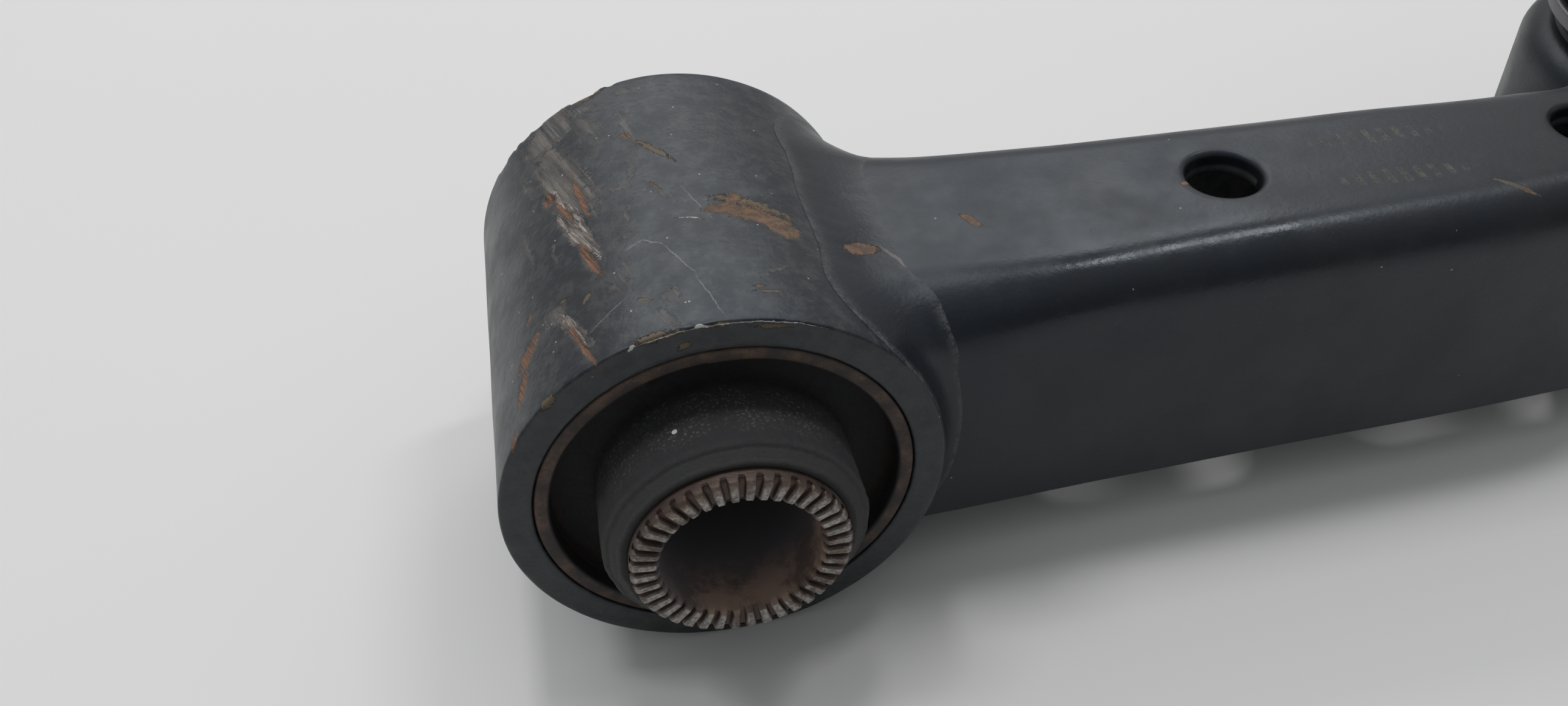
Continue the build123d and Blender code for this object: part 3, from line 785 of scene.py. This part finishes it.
def metal_material(name, colour, rough_low, rough_high, grain_stretch=(1.0, 1.0, 1.0)):
    """Bare metal with a fine grain and a few stains."""
    material, s, shader = new_material(name)
    solid = millimetres(s)
    grain = s.noise(s.vector("MULTIPLY", solid, grain_stretch), 1.2, 4.0, 0.65)
    dirt = s.ramp(s.noise(solid, 0.25, 5.0, 0.65), 0.5, 0.72)
    base = s.mix(s.ramp(grain, 0.3, 0.7), tuple(c * 0.78 for c in colour), colour)
    base = s.mix(s.times(dirt, 0.25), base, (0.08, 0.06, 0.05))
    connect(s, shader, base, s.ramp(grain, 0.3, 0.7, rough_low, rough_high), grain, 0.00002)
    shader["Metallic"].default_value = 0.9
    return material


def plastic_material():
    material, s, shader = new_material("Natural acetal")
    solid = millimetres(s)
    cloud = s.noise(solid, 0.3, 4.0, 0.6)
    base = s.mix(s.ramp(cloud, 0.35, 0.7), (0.68, 0.66, 0.58), (0.78, 0.76, 0.69))
    connect(s, shader, base, s.ramp(cloud, 0.3, 0.7, 0.38, 0.5), s.noise(solid, 3.0, 2.0), 0.00002)
    return material


def table_material(colour):
    """Pale matt table with a few crumbs."""
    material, s, shader = new_material("Pale table")
    where = s.add("ShaderNodeTexCoord").outputs["Object"]
    cloud = s.noise(where, 3.0, 4.0, 0.6)
    base = s.mix(s.ramp(cloud, 0.3, 0.7), tuple(c * 0.98 for c in colour), colour)
    crumbs = s.cells(where, 22.0)["Distance"]
    smudge = s.times(s.ramp(crumbs, 0.022, 0.008), s.ramp(s.noise(where, 9.0, 2.0), 0.52, 0.6))
    s.put(shader["Base Color"], s.mix(s.times(smudge, 0.35), base, (0.30, 0.29, 0.27)))
    shader["Roughness"].default_value = 0.55
    shader["Specular IOR Level"].default_value = 0.25
    return material


# ---------------------------------------------------------------- the pressed arm

# y of the two side walls along x
near_wall = curve_through([(12, -20.4), (26, -20.5), (45, -20.3), (80, -20.3), (112, -20.3),
                           (121, -19.9), (130, -18.0), (137, -14.0), (143, -8.2), (151, 3.0)])
far_wall = curve_through([(12, 20.4), (18, 20.1), (24, 18.6), (32, 15.8), (41, 13.5), (61, 10.9), (89, 8.6),
                          (112, 6.2), (121, 6.2), (128, 10.2), (134, 17.0), (141, 24.0), (149, 29.0)])


def arm_section(x, inset=0.0):
    """Outline of the arm at each x, in arrays of (x, sample): near wall up, over the top, far wall down.

    The top slopes down towards the ball joint between x 121 and 137, and the corners open out at the bush.
    """
    x = np.asarray(x, float)
    near, far = near_wall(x) + inset, far_wall(x) - inset
    drop = smoothstep(121.0, 137.0, x - inset * 0.4)
    top = ARM_TOP - 14.0 * drop - inset
    low = ARM_LOW + 0 * x
    corner = np.maximum(6.3 + 2.6 * (1 - smoothstep(24, 48, x)) - inset, 1.2)
    n_wall, n_arc, n_top = 16, 12, 30
    w, t = np.linspace(0, 1, n_wall), np.linspace(0, 1, n_top)
    a = np.linspace(0, math.pi / 2, n_arc + 2)[1:-1]
    shape = x.shape + (1,)
    near, far, top, low, corner = (v.reshape(shape) for v in (near, far, top, low, corner))
    ys = [near + 0 * w, near + corner * (1 - np.cos(a)), near + corner + (far - near - 2 * corner) * t,
          far - corner * (1 - np.sin(a)), far + 0 * w]
    zs = [low + (top - corner - low) * w, top - corner * (1 - np.sin(a)), top + 0 * t,
          top - corner * (1 - np.cos(a)), low + (top - corner - low) * (1 - w)]
    crown = 0.25 * np.sin(np.pi * np.clip((np.concatenate(ys, -1) - near) / (far - near), 0, 1))
    return np.concatenate(ys, -1), np.concatenate(zs, -1) + crown * (1 if inset == 0 else 0.6)


def arm_ends(inset=0.0):
    """Start and end x of every outline sample, where it meets the two round housings."""
    samples = arm_section(np.array([20.0]), inset)[0].shape[1]
    index, start = np.arange(samples), np.full(samples, 22.0)
    for _ in range(4):
        z = arm_section(start, inset)[1][index, index]
        start = np.sqrt(np.maximum((HOUSING_R - 1.0) ** 2 - z ** 2, 9.0))
    low, high = np.full(samples, 118.0), np.full(samples, 156.0)
    for _ in range(30):
        middle = (low + high) / 2
        y = arm_section(middle, inset)[0][index, index]
        outside = np.hypot(middle - BALL_X, y - BALL_Y) > BALL_HOUSING_R - 0.9
        low, high = np.where(outside, middle, low), np.where(outside, high, middle)
    return start, middle


def arm_surface(stations, inset):
    """The section at every station from end to end, slightly uneven like a real pressing."""
    start, end = arm_ends(inset)
    share = np.linspace(0, 1, stations)[:, None]
    x = start + (end - start) * share
    y, z = np.empty_like(x), np.empty_like(x)
    index = np.arange(x.shape[1])
    for i in range(stations):
        ys, zs = arm_section(x[i], inset)
        y[i], z[i] = ys[index, index], zs[index, index]
    z = z + 0.22 * (value_noise(x / 16, y / 16, z / 16, 7) - 0.5)
    y = y + 0.18 * (value_noise(x / 18, y / 18, z / 18, 8) - 0.5) * np.sign(y)
    return np.stack([x, y, z], -1)


def build_arm(material):
    stations = 170
    outer = arm_surface(stations, 0.0)
    inner = arm_surface(stations, SHEET)[:, ::-1]
    ring = np.concatenate([outer, inner], 1)
    count, half = ring.shape[1], outer.shape[1]
    faces = grid_faces(stations, count, False, True)
    for row in (0, stations - 1):
        base = row * count
        faces += [(base + i, base + i + 1, base + count - 2 - i, base + count - 1 - i)
                  for i in range(half - 1)]
    arm = add_mesh("pressed_arm", ring, faces, material)
    # The "inside" value marks the inner faces that the arm's paint lightens as painted light.
    point_values(arm, "inside", np.tile(np.r_[np.zeros(half), np.ones(count - half)], stations))
    for x, y in HOLES:
        lip = arc(HOLE_R + HOLE_LIP_R, ARM_TOP - 0.65, HOLE_LIP_R, 180, 90, 7)
        outline = [(0.001, 5.0), (HOLE_R, 5.0)] + lip + [(6.2, ARM_TOP + 0.3), (6.2, 30.0), (0.001, 30.0)]
        cut(arm, turned("hole_cutter", outline, material, centre=(x, y, 0), segments=72))
    place(arm, "arm", "arm_paint", "arm_pressing")


# ---------------------------------------------------------------- welds

def bead(name, root, toe_a, toe_b, sink_a, sink_b, material, seed):
    """Concave weld bead lofted along root, between two lines of toes, with its back sunk into both parts."""
    steps = 15
    t = np.linspace(0, 1, steps)[None, :, None]
    control = root * 0.80 + (toe_a + toe_b) * 0.10
    surface = ((1 - t) ** 2 * toe_a[:, None] + 2 * t * (1 - t) * control[:, None] + t ** 2 * toe_b[:, None])
    lift = (toe_a + toe_b) / 2 - root
    lift = lift / np.maximum(np.linalg.norm(lift, axis=-1, keepdims=True), 1e-6)
    along = np.cumsum(np.r_[0, np.linalg.norm(np.diff(root, axis=0), axis=-1)])
    bulge = np.sin(np.pi * t[..., 0])
    ripple = 0.03 * np.sin(along * 2.3 + 1.5 * value_noise(along / 5, 0, 0, seed))[:, None] * bulge
    lump = 0.35 * (value_noise(along[:, None] / 7, t[..., 0] * 2, 0, seed) - 0.35) * bulge
    surface = surface + lift[:, None] * (ripple + lump)[..., None]
    ring = np.concatenate([surface, sink_b[:, None], root[:, None] - lift[:, None] * 0.9, sink_a[:, None]], 1)
    rows, cols = ring.shape[:2]
    faces = grid_faces(rows, cols, False, True)
    faces += [tuple(range(cols)), tuple((rows - 1) * cols + i for i in reversed(range(cols)))]
    piece = add_mesh(name, ring, faces, material, crease=50)
    toe = np.abs(np.linspace(-1, 1, steps)) ** 4
    point_values(piece, "toe", np.tile(np.r_[toe, 1, 1, 1], rows))
    return piece


def outline_normals(y, z):
    """Outward directions along an outline that runs up the near side."""
    dy, dz = np.gradient(y), np.gradient(z)
    length = np.hypot(dy, dz)
    return -dz / length, dy / length


def build_bush_weld(material):
    """Bead between the arm and the bush housing, its toes wandering a little."""
    start, _ = arm_ends()
    index = np.arange(len(start))
    x0 = np.sqrt(HOUSING_R ** 2 - arm_section(start)[1][index, index] ** 2)
    y, z = (v[index, index] for v in arm_section(x0))
    ny, nz = outline_normals(y, z)
    wander = value_noise(index / 5.0, 0, 0, 3) - 0.5
    reach_a = 4.7 * np.abs(ny) + 6.0 * np.clip(nz, 0, 1) + 0.9 * wander
    reach_a = np.where(y < -10, np.minimum(reach_a, y + 25.2 + 26 * nz), reach_a)
    reach_b = 3.6 * np.abs(ny) + 5.6 * np.clip(nz, 0, 1) + 1.0 * (value_noise(index / 4.0, 3, 0, 4) - 0.5)
    angle = np.arcsin(np.clip(z / HOUSING_R, -1, 1))
    a_angle = angle + reach_a * nz / HOUSING_R
    a_y = np.clip(y + reach_a * ny, 0.2 - HOUSING_HALF, HOUSING_HALF - 0.2)

    def on_housing(radius):
        return np.stack([radius * np.cos(a_angle), a_y, radius * np.sin(a_angle)], -1)

    def on_arm(inset):
        ys, zs = arm_section(x0 + reach_b, inset)
        return np.stack([x0 + reach_b, ys[index, index], zs[index, index]], -1)
    weld = bead("bush_weld_bead", np.stack([x0, y, z], -1), on_housing(HOUSING_R + 0.04), on_arm(0.0),
                on_housing(HOUSING_R - 0.8), on_arm(0.9), material, 5)
    place(weld, "arm", "arm_paint", "bush_housing_weld")


def build_ball_joint_weld(material):
    """Bead between the arm and the ball-joint forging."""
    _, end = arm_ends()
    index = np.arange(len(end))
    x1 = end - 0.9
    y, z = (v[index, index] for v in arm_section(x1))
    ny, nz = outline_normals(y, z)
    side = np.where(index < len(index) / 2, -1.0, 1.0) * np.abs(ny)
    angle = np.arctan2(y - BALL_Y, x1 - BALL_X)
    a_angle = np.unwrap(angle) - side * 2.6 / BALL_HOUSING_R
    a_z = np.clip(z + 2.6 * np.clip(nz, 0, 1), -22, 4.2)

    def on_cylinder(radius):
        return np.stack([BALL_X + radius * np.cos(a_angle), BALL_Y + radius * np.sin(a_angle), a_z], -1)

    def on_arm(inset):
        x = x1 - 2.9 - 0.5 * (value_noise(index / 4.0, 1, 0, 9) - 0.5)
        ys, zs = arm_section(x, inset)
        return np.stack([x, ys[index, index], zs[index, index]], -1)
    weld = bead("ball_joint_weld_bead", np.stack([x1, y, z], -1), on_cylinder(BALL_HOUSING_R + 0.02),
                on_arm(0.0), on_cylinder(BALL_HOUSING_R - 0.7), on_arm(0.9), material, 6)
    place(weld, "arm", "arm_paint", "ball_joint_weld")


# ---------------------------------------------------------------- the bush

def build_housing(material):
    """Housing tube, with the chips and gouges cut into its surface and its battered rim."""
    def worn(radius, height, angle):
        degrees = from_top(angle)
        outside = smoothstep(24.6, 25.4, radius)
        depth = marked(degrees, height, BARE) + marked(degrees, height, RUST)
        depth = depth + 0.12 * marked(degrees, height, SCRAPED[:3])
        streak = value_noise(degrees * 0.9, height * 0.12, 0, 11) - 0.5
        radius = radius - outside * depth * (1 + 1.2 * streak)
        radius = radius + outside * 0.08 * (value_noise(degrees / 14, height / 9, 0, 12) - 0.5)
        rim = smoothstep(24.4, 25.5, np.abs(height)) * outside
        battered = np.where(height > 0, smoothstep(-62, -50, degrees) * smoothstep(-3, -10, degrees),
                            smoothstep(-48, -38, degrees) * smoothstep(6, -2, degrees) * 0.35)
        nick = smoothstep(0.50, 0.75, value_noise(degrees * 0.55, np.sign(height) * 9, radius * 0.4, 13))
        knocked = np.where(height > 0,
                           0.75 * smoothstep(-24.0, -22.5, degrees) * smoothstep(-14.0, -17.5, degrees)
                           + 0.25 * smoothstep(-40, -34, degrees) * smoothstep(-24, -28, degrees), 0.0)
        radius = radius - rim * (0.22 * nick * battered + knocked)
        face = smoothstep(25.2, 25.5, np.abs(height)) * smoothstep(22.6, 23.4, radius)
        height = height - np.sign(height) * face * 0.10 * value_noise(degrees / 5, radius * 1.3, 0, 14)
        return radius, height
    h, r, b, step = HOUSING_HALF, HOUSING_R, HOUSING_BORE_R, 0.62
    end = [(b, h - 0.6)] + arc(b + 0.35, h - 0.35, 0.35, 180, 90, 4) + arc(r - 0.4, h - 0.4, 0.4, 90, 0, 5)
    end = divided(end, step, closed=False)
    outline = end + divided([(r, h - 0.45), (r, -h + 0.45)], step, closed=False)[1:-1] + mirrored(end)
    outline += [(b, -12.0), (b, 12.0)]
    housing = turned("bush_housing_tube", outline, material, axis="y", segments=560, shape=worn, crease=40)
    place(housing, "arm", "arm_paint", "bush_housing")


def build_outer_sleeve(material):
    def uneven(radius, height, angle):
        wave = value_noise(np.degrees(angle) / 20, 0, 0, 21) - 0.5
        return radius, height - np.sign(height) * smoothstep(24, 25.4, np.abs(height)) * (0.15 + 0.2 * wave)
    h, b = HOUSING_HALF, OUTER_SLEEVE_BORE_R
    upper = [(b, 14.0), (b, h - 0.5)] + arc(b + 0.45, h - 0.45, 0.45, 180, 90, 5)
    upper += arc(21.75, h - 0.35, 0.35, 90, 0, 5) + [(22.12, 14.0)]
    half = divided(upper, 1.2, closed=False)
    sleeve = turned("bush_outer_sleeve_ring", half + mirrored(half), material, axis="y", shape=uneven)
    place(sleeve, "arm", "outer_sleeve_steel", "bush_outer_sleeve")


def build_rubber(material):
    """Rubber with a raised collar and a shallow recess at each end."""
    def moulded(radius, height, angle):
        degrees = from_top(angle)
        skin = smoothstep(12.65, 13.0, radius) * smoothstep(20.28, 20.0, radius)
        rough = 0.16 * (value_noise(degrees * 0.42, height * 1.4, 1, 31) - 0.5)
        rough = rough + 0.22 * (value_noise(degrees / 8, height / 5, 2, 32) - 0.5)
        radius = radius + skin * rough
        web = smoothstep(19.0, 20.0, np.abs(height))
        web = web * smoothstep(15.3, 16.4, radius) * smoothstep(20.28, 19.6, radius)
        nub = 1.5 * np.exp(-(((degrees + 24) * 0.31) ** 2 + (radius - 17.4) ** 2) / 1.3)
        uneven = 0.25 * (value_noise(degrees / 9, radius, 0, 33) - 0.5)
        return radius, height + np.sign(height) * web * (nub + uneven)
    upper = [(12.56, 0.0), (12.56, 33.4)] + arc(13.1, 33.0, 0.6, 90, 10, 5) + [(14.1, 32.9), (14.3, 32.4)]
    upper += arc(14.5, 31.6, 0.65, 90, 0, 6) + [(15.1, 28.0), (15.05, 25.0)]
    upper += arc(17.3, 22.7, 2.25, 180, 270, 8) + [(18.6, 20.5)] + arc(18.7, 22.1, 1.6, 270, 350, 6)
    half = divided(upper + [(20.28, 23.2), (20.28, 0.0)], 0.7, closed=False)
    rubber = turned("bush_rubber_body", half + mirrored(half[1:-1]), material, axis="y", segments=360,
                    shape=moulded, crease=60)
    place(rubber, "arm", "bush_rubber", "bush_rubber")


def build_inner_sleeve(material):
    """Inner sleeve with radial teeth on both end faces."""
    teeth, per_tooth = 40, 14
    h, r, b = INNER_HALF, INNER_SLEEVE_R, INNER_BORE_R

    def tooth_profile(angle):
        phase = (angle * teeth / (2 * np.pi)) % 1.0
        side = np.abs(phase - 0.5) * 2
        tooth_id = np.floor(angle * teeth / (2 * np.pi))
        wobble = value_noise(tooth_id * 1.7, 0.3, 0.2, 41) - 0.5
        return 1 - smoothstep(0.36 + 0.14 * wobble, 0.50 + 0.14 * wobble, side), wobble

    def serrated(radius, height, angle):
        groove, wobble = tooth_profile(angle)
        near_face = smoothstep(h - 0.9, h - 0.4, np.abs(height)) * smoothstep(9.0, 9.3, radius)
        worn = value_noise(np.degrees(angle) * 0.4, radius * 1.1, 0, 42) - 0.5
        outer = smoothstep(12.0, 12.5, radius) * 0.2
        drop = near_face * (0.7 * groove + 0.10 * worn + 0.10 * (wobble + 0.5) + outer)
        return radius, height - np.sign(height) * drop
    upper = [(b, h - 1.6), (b, h - 0.75), (9.35, h - 0.35), (9.6, h - 0.05), (9.9, h)]
    upper += [(10.4, h), (11.0, h), (11.6, h), (12.0, h), (12.25, h - 0.02), (12.42, h - 0.12)]
    upper += [(r, h - 0.35), (r, h - 0.9), (r, h - 1.5)]
    outline = [(b, 0.0)] + upper + [(r, 0.0)] + mirrored(upper)
    outline = divided(outline, 3.0)
    sleeve = turned("bush_inner_sleeve_serrated", outline, material, axis="y", segments=teeth * per_tooth,
                    shape=serrated, crease=28)
    points = np.array([v.co for v in sleeve.data.vertices]) / MM
    angle = np.arctan2(points[:, 0], points[:, 2]) % (2 * np.pi)
    depth = tooth_profile(angle)[0] * smoothstep(h - 1.8, h - 1.0, np.abs(points[:, 1]))
    point_values(sleeve, "groove", depth)
    place(sleeve, "inner_sleeve", "inner_sleeve_steel", "bush_inner_sleeve")


# ---------------------------------------------------------------- the ball joint

def build_ball_joint_housing(material):
    """Forged cup with a groove and a lip for the boot."""
    def forged(radius, height, angle):
        lumps = value_noise(np.degrees(angle) / 12, height / 6, 0, 51) - 0.5
        return radius + smoothstep(23.5, 25.5, radius) * 0.16 * lumps, height
    outline = [(18.6, -22.6), (18.6, -24.4), (18.8, -24.6), (23.6, -24.6)]
    outline += arc(24.5, -22.6, 2.0, 270, 360, 7) + [(BALL_HOUSING_R, 4.6)] + arc(21.9, 4.8, 4.6, 0, 80,
                                                                                  12)[1:]
    outline += [(22.4, 9.9)] + arc(21.6, 10.6, 0.9, 0, 90, 5) + [(20.6, 11.5), (20.6, 14.0), (21.3, 14.2)]
    outline += [(21.6, 14.6), (21.5, 15.3), (21.2, 15.5), (18.4, 15.5), (18.1, 15.2)]
    outline += [(14.8, 6.6), (21.0, 6.6), (21.0, -22.6)]
    housing = turned("ball_joint_forging", divided(outline, 1.1), material, centre=BALL_AXIS, segments=220,
                     shape=forged)
    place(housing, "arm", "arm_paint", "ball_joint_housing")


def build_cap(material):
    outline = [(0.001, -26.0), (13.2, -26.0)] + arc(13.4, -25.0, 1.0, 270, 330, 4)
    outline += [(16.9, -22.9), (17.6, -22.62), (20.8, -22.6), (20.8, -20.1), (16.7, -20.1), (13.3, -23.6),
                (0.001, -23.6)]
    cap = turned("ball_joint_end_cap", divided(outline, 1.5), material, centre=BALL_AXIS, segments=160)
    place(cap, "arm", "cap_steel", "ball_joint_cap")


def build_stud(material):
    """Ball, neck, taper and thread in one turned piece."""
    ball = arc(0, BALL_Z, BALL_R, -64.9, 60, 40)
    shank = [(8.0, 11.2), (8.0, 28.6)] + arc(8.7, 29.3, 0.3, 180, 90, 3)
    shank += [(9.0, 29.9), (9.0, 35.0), (8.7, 35.5), (7.35, 55.5)]
    shank += [(6.2, 56.1), (6.2, 57.4), (6.95, 58.0), (6.95, 76.0), (6.0, 77.0), (0.001, 77.0)]
    outline = divided([(0.001, -18.0)] + ball + shank + [(0.001, 0.0)], 0.45)

    def threaded(radius, height, angle):
        phase = (height / THREAD_PITCH - angle / (2 * np.pi)) % 1.0
        on_thread = smoothstep(57.6, 58.4, height) * smoothstep(76.4, 75.8, height)
        on_thread = on_thread * smoothstep(6.5, 6.9, radius)
        return radius - on_thread * 0.75 * np.abs(phase - 0.5) * 2, height
    stud = turned("ball_stud_turned", outline, material, centre=BALL_AXIS, segments=128, shape=threaded)
    place(stud, "stud", "stud_steel", "ball_stud")


def build_boot(material):
    """Dust boot in two halves that share one edge: one runs from the cup, the other to the neck ring."""
    split_z = 27.0
    outer = [(23.3, 12.0), (23.3, 14.4), (23.9, 15.2), (24.6, 16.8), (24.9, 18.8), (24.6, 20.6), (23.6, 22.4),
             (21.8, 24.2), (19.8, 25.4), (17.4, split_z), (15.6, 28.0), (13.9, 28.8), (12.6, 29.9),
             (12.2, 30.9), (12.2, 33.6)]
    top_in = [(9.3, 33.9), (9.3, 30.6), (10.6, 29.0), (12.8, 27.4), (15.6, split_z - 1.5)]
    low_in = [(15.6, split_z - 1.5), (18.6, 23.8), (21.0, 22.2), (22.6, 20.2), (23.1, 18.8), (22.8, 17.2),
              (22.0, 15.6), (21.9, 14.4), (20.9, 13.9), (20.9, 12.0)]
    cut_at = outer.index((17.4, split_z))
    lower = turned("dust_boot_lower", divided(outer[:cut_at + 1] + low_in, 0.9), material, centre=BALL_AXIS,
                   segments=180, crease=60)
    upper = turned("dust_boot_upper", divided(outer[cut_at:] + [(12.0, 33.9)] + top_in, 0.9), material,
                   centre=BALL_AXIS, segments=180, crease=60)
    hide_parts("dust_boot")
    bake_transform(lower)
    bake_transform(upper)


def ring_outline(r_in, r_out, z0, z1):
    """Section of a ring with rounded corners."""
    c, d = 0.45, 0.2
    outside = arc(r_out - c, z0 + c, c, 270, 360, 5) + arc(r_out - c, z1 - c, c, 0, 90, 5)
    inside = arc(r_in + d, z1 - d, d, 90, 180, 3) + arc(r_in + d, z0 + d, d, 180, 270, 3)
    return divided(outside + inside, 1.0)


def build_boot_rings(material):
    lower = turned("boot_lower_spring_ring", ring_outline(23.4, 24.7, 12.2, 14.4), material, centre=BALL_AXIS,
                   segments=160)
    place(lower, "arm", "ring_steel", "boot_lower_ring")
    neck = turned("boot_neck_spring_ring", ring_outline(12.4, 13.7, 31.0, 33.2), material, centre=BALL_AXIS,
                  segments=120)
    place(neck, "boot_neck", "ring_steel", "boot_neck_ring")


# ---------------------------------------------------------------- settings shown in the sidebar

class ARM_PG_look(bpy.types.PropertyGroup):
    paint: bpy.props.FloatVectorProperty(
        name="Paint", description="Colour of the satin paint", subtype="COLOR", size=3, min=0, max=1,
        default=(0.0120, 0.0128, 0.0148))
    table: bpy.props.FloatVectorProperty(
        name="Table", description="Colour of the table", subtype="COLOR", size=3, min=0, max=1,
        default=(0.72, 0.72, 0.71))


class ARM_PG_view(bpy.types.PropertyGroup):
    lens: bpy.props.FloatProperty(
        name="Lens", description="Focal length of the camera", default=29.95, min=10, max=120)
    eye: bpy.props.FloatVectorProperty(
        name="Eye", description="Place of the camera", subtype="TRANSLATION", unit="LENGTH", size=3,
        default=(-0.00694, -0.12589, 0.11305))


def look():
    return bpy.context.scene.arm_look


def material(name):
    return bpy.data.materials[name]


class ArmOperator:
    bl_options = {"REGISTER", "UNDO"}

    def execute(self, context):
        self.make(context)
        return {"FINISHED"}


class ARM_OT_materials(ArmOperator, bpy.types.Operator):
    """Make every finish that the pieces use"""
    bl_idname, bl_label = "arm.materials", "Finishes"

    def make(self, context):
        for build in (millimetre_group, mark_group, ragged_vector_group, grain_group, rust_group, dust_group,
                      scratch_group):
            build()
        paint = tuple(look().paint)
        for build in (arm_paint_material, housing_paint_material, weld_paint_material, plain_paint_material):
            build(paint)
        for build in (sleeve_ring_material, tooth_steel_material, bush_rubber_material, boot_rubber_material,
                      plastic_material):
            build()
        metal_material("Machined steel", (0.52, 0.51, 0.49), 0.25, 0.42, (1.0, 1.0, 6.0))
        metal_material("Zinc plate", (0.56, 0.55, 0.50), 0.28, 0.42)
        metal_material("Phosphated wire", (0.16, 0.16, 0.17), 0.4, 0.55)
        metal_material("Blued spring steel", (0.12, 0.13, 0.17), 0.3, 0.45)


class ARM_OT_pressing(ArmOperator, bpy.types.Operator):
    """Build the pressed arm with its two holes"""
    bl_idname, bl_label = "arm.pressing", "Pressed arm"

    def make(self, context):
        build_arm(material("Arm paint"))


class ARM_OT_welds(ArmOperator, bpy.types.Operator):
    """Build the weld beads at both housings"""
    bl_idname, bl_label = "arm.welds", "Weld beads"

    def make(self, context):
        for build in (build_bush_weld, build_ball_joint_weld):
            build(material("Painted weld"))


class ARM_OT_bush(ArmOperator, bpy.types.Operator):
    """Build the bush: housing tube, sleeves and rubber"""
    bl_idname, bl_label = "arm.bush", "Bush"

    def make(self, context):
        build_housing(material("Scraped housing paint"))
        build_outer_sleeve(material("Rusty outer sleeve"))
        build_rubber(material("Bush rubber"))
        build_inner_sleeve(material("Serrated sleeve steel"))


class ARM_OT_ball_joint(ArmOperator, bpy.types.Operator):
    """Build the ball joint: forging, cap, stud, boot and rings"""
    bl_idname, bl_label = "arm.ball_joint", "Ball joint"

    def make(self, context):
        build_ball_joint_housing(material("Satin black paint"))
        build_cap(material("Satin black paint"))
        build_stud(material("Machined steel"))
        build_boot(material("Boot rubber"))
        build_boot_rings(material("Phosphated wire"))


class ARM_OT_kept_pieces(ArmOperator, bpy.types.Operator):
    """Give the pieces kept from the solid model their finishes"""
    bl_idname, bl_label = "arm.kept_pieces", "Kept pieces"

    def make(self, context):
        finishes = {"Satin black paint": ("bottom_plate", "plate_weld_near", "plate_weld_far"),
                    "Natural acetal": ("upper_ball_seat", "lower_ball_seat", "ball_liner"),
                    "Blued spring steel": ("preload_spring",),
                    "Zinc plate": ("castle_nut", "split_pin", "grease_nipple"),
                    "Machined steel": ("nipple_check_ball",)}
        for finish_name, nodes in finishes.items():
            for node in nodes:
                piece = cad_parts[node]
                piece.data.materials.clear()
                piece.data.materials.append(material(finish_name))


class ARM_OT_stage(ArmOperator, bpy.types.Operator):
    """Lay the pale table, hang the lights and set the camera"""
    bl_idname, bl_label = "arm.stage", "Table, light and camera"

    def make(self, context):
        scene = context.scene
        table = add_mesh("table", [(-1500, -1500, 0), (1500, -1500, 0), (1500, 1500, 0), (-1500, 1500, 0)],
                         [(0, 1, 2, 3)],
                         table_material(tuple(look().table)))
        table.location.z = TABLE_Z - 0.00002
        for name, where, aim, size, power in LIGHTS:
            lamp = bpy.data.lights.new(name, "AREA")
            lamp.shape, lamp.size, lamp.size_y, lamp.energy = "RECTANGLE", size[0], size[1], power
            holder = bpy.data.objects.new(name, lamp)
            holder.location = where
            holder.rotation_euler = (Vector(aim) - Vector(where)).to_track_quat("-Z", "Y").to_euler()
            scene.collection.objects.link(holder)
        world = bpy.data.worlds.new("Room")
        world.use_nodes = True
        sky = Shader(world.node_tree)
        way = sky.add("ShaderNodeSeparateXYZ",
                      Vector=sky.add("ShaderNodeTexCoord").outputs["Generated"]).outputs
        height = sky.math("MULTIPLY_ADD", way[1], 0.45, sky.times(way[2], 0.75))
        background = world.node_tree.nodes["Background"].inputs
        sky.put(background["Color"],
                sky.mix(sky.ramp(height, -0.25, 0.80), (0.30, 0.305, 0.31), (0.97, 0.98, 1.0)))
        background["Strength"].default_value = 0.50
        scene.world = world
        scene.view_settings.view_transform = "Standard"
        view = scene.arm_view
        camera = bpy.data.cameras.new("Camera")
        camera.lens, camera.sensor_width, camera.clip_start = view.lens, 36.0, 0.005
        holder = bpy.data.objects.new("Camera", camera)
        forward = Vector((0.107, 0.730, -0.675)).normalized()
        right = Vector((0.978, -0.198, -0.059))
        right = (right - forward * right.dot(forward)).normalized()
        up = right.cross(forward)
        turn = Matrix((right, up, -forward)).transposed().to_4x4()
        holder.matrix_world = Matrix.Translation(view.eye) @ turn
        scene.collection.objects.link(holder)
        scene.camera = holder


OPERATORS = (ARM_OT_materials, ARM_OT_pressing, ARM_OT_welds, ARM_OT_bush, ARM_OT_ball_joint,
             ARM_OT_kept_pieces, ARM_OT_stage)


class ARM_PT_panel(bpy.types.Panel):
    """Settings and build steps of the control arm"""
    bl_idname, bl_label = "ARM_PT_panel", "Control arm"
    bl_space_type, bl_region_type, bl_category = "VIEW_3D", "UI", "Control arm"

    def draw(self, context):
        column = self.layout.column()
        for group, names in ((context.scene.arm_look, ("paint", "table")),
                             (context.scene.arm_view, ("lens", "eye"))):
            for name in names:
                column.prop(group, name)
        for operator in OPERATORS:
            column.operator(operator.bl_idname)


CLASSES = (ARM_PG_look, ARM_PG_view, *OPERATORS, ARM_PT_panel)


def register():
    for cls in CLASSES:
        bpy.utils.register_class(cls)
    bpy.types.Scene.arm_look = bpy.props.PointerProperty(type=ARM_PG_look)
    bpy.types.Scene.arm_view = bpy.props.PointerProperty(type=ARM_PG_view)


def unregister():
    del bpy.types.Scene.arm_look, bpy.types.Scene.arm_view
    for cls in reversed(CLASSES):
        bpy.utils.unregister_class(cls)


def main():
    register()
    for operator in OPERATORS:
        group, name = operator.bl_idname.split(".")
        getattr(getattr(bpy.ops, group), name)()


if __name__ == "__main__":
    main()
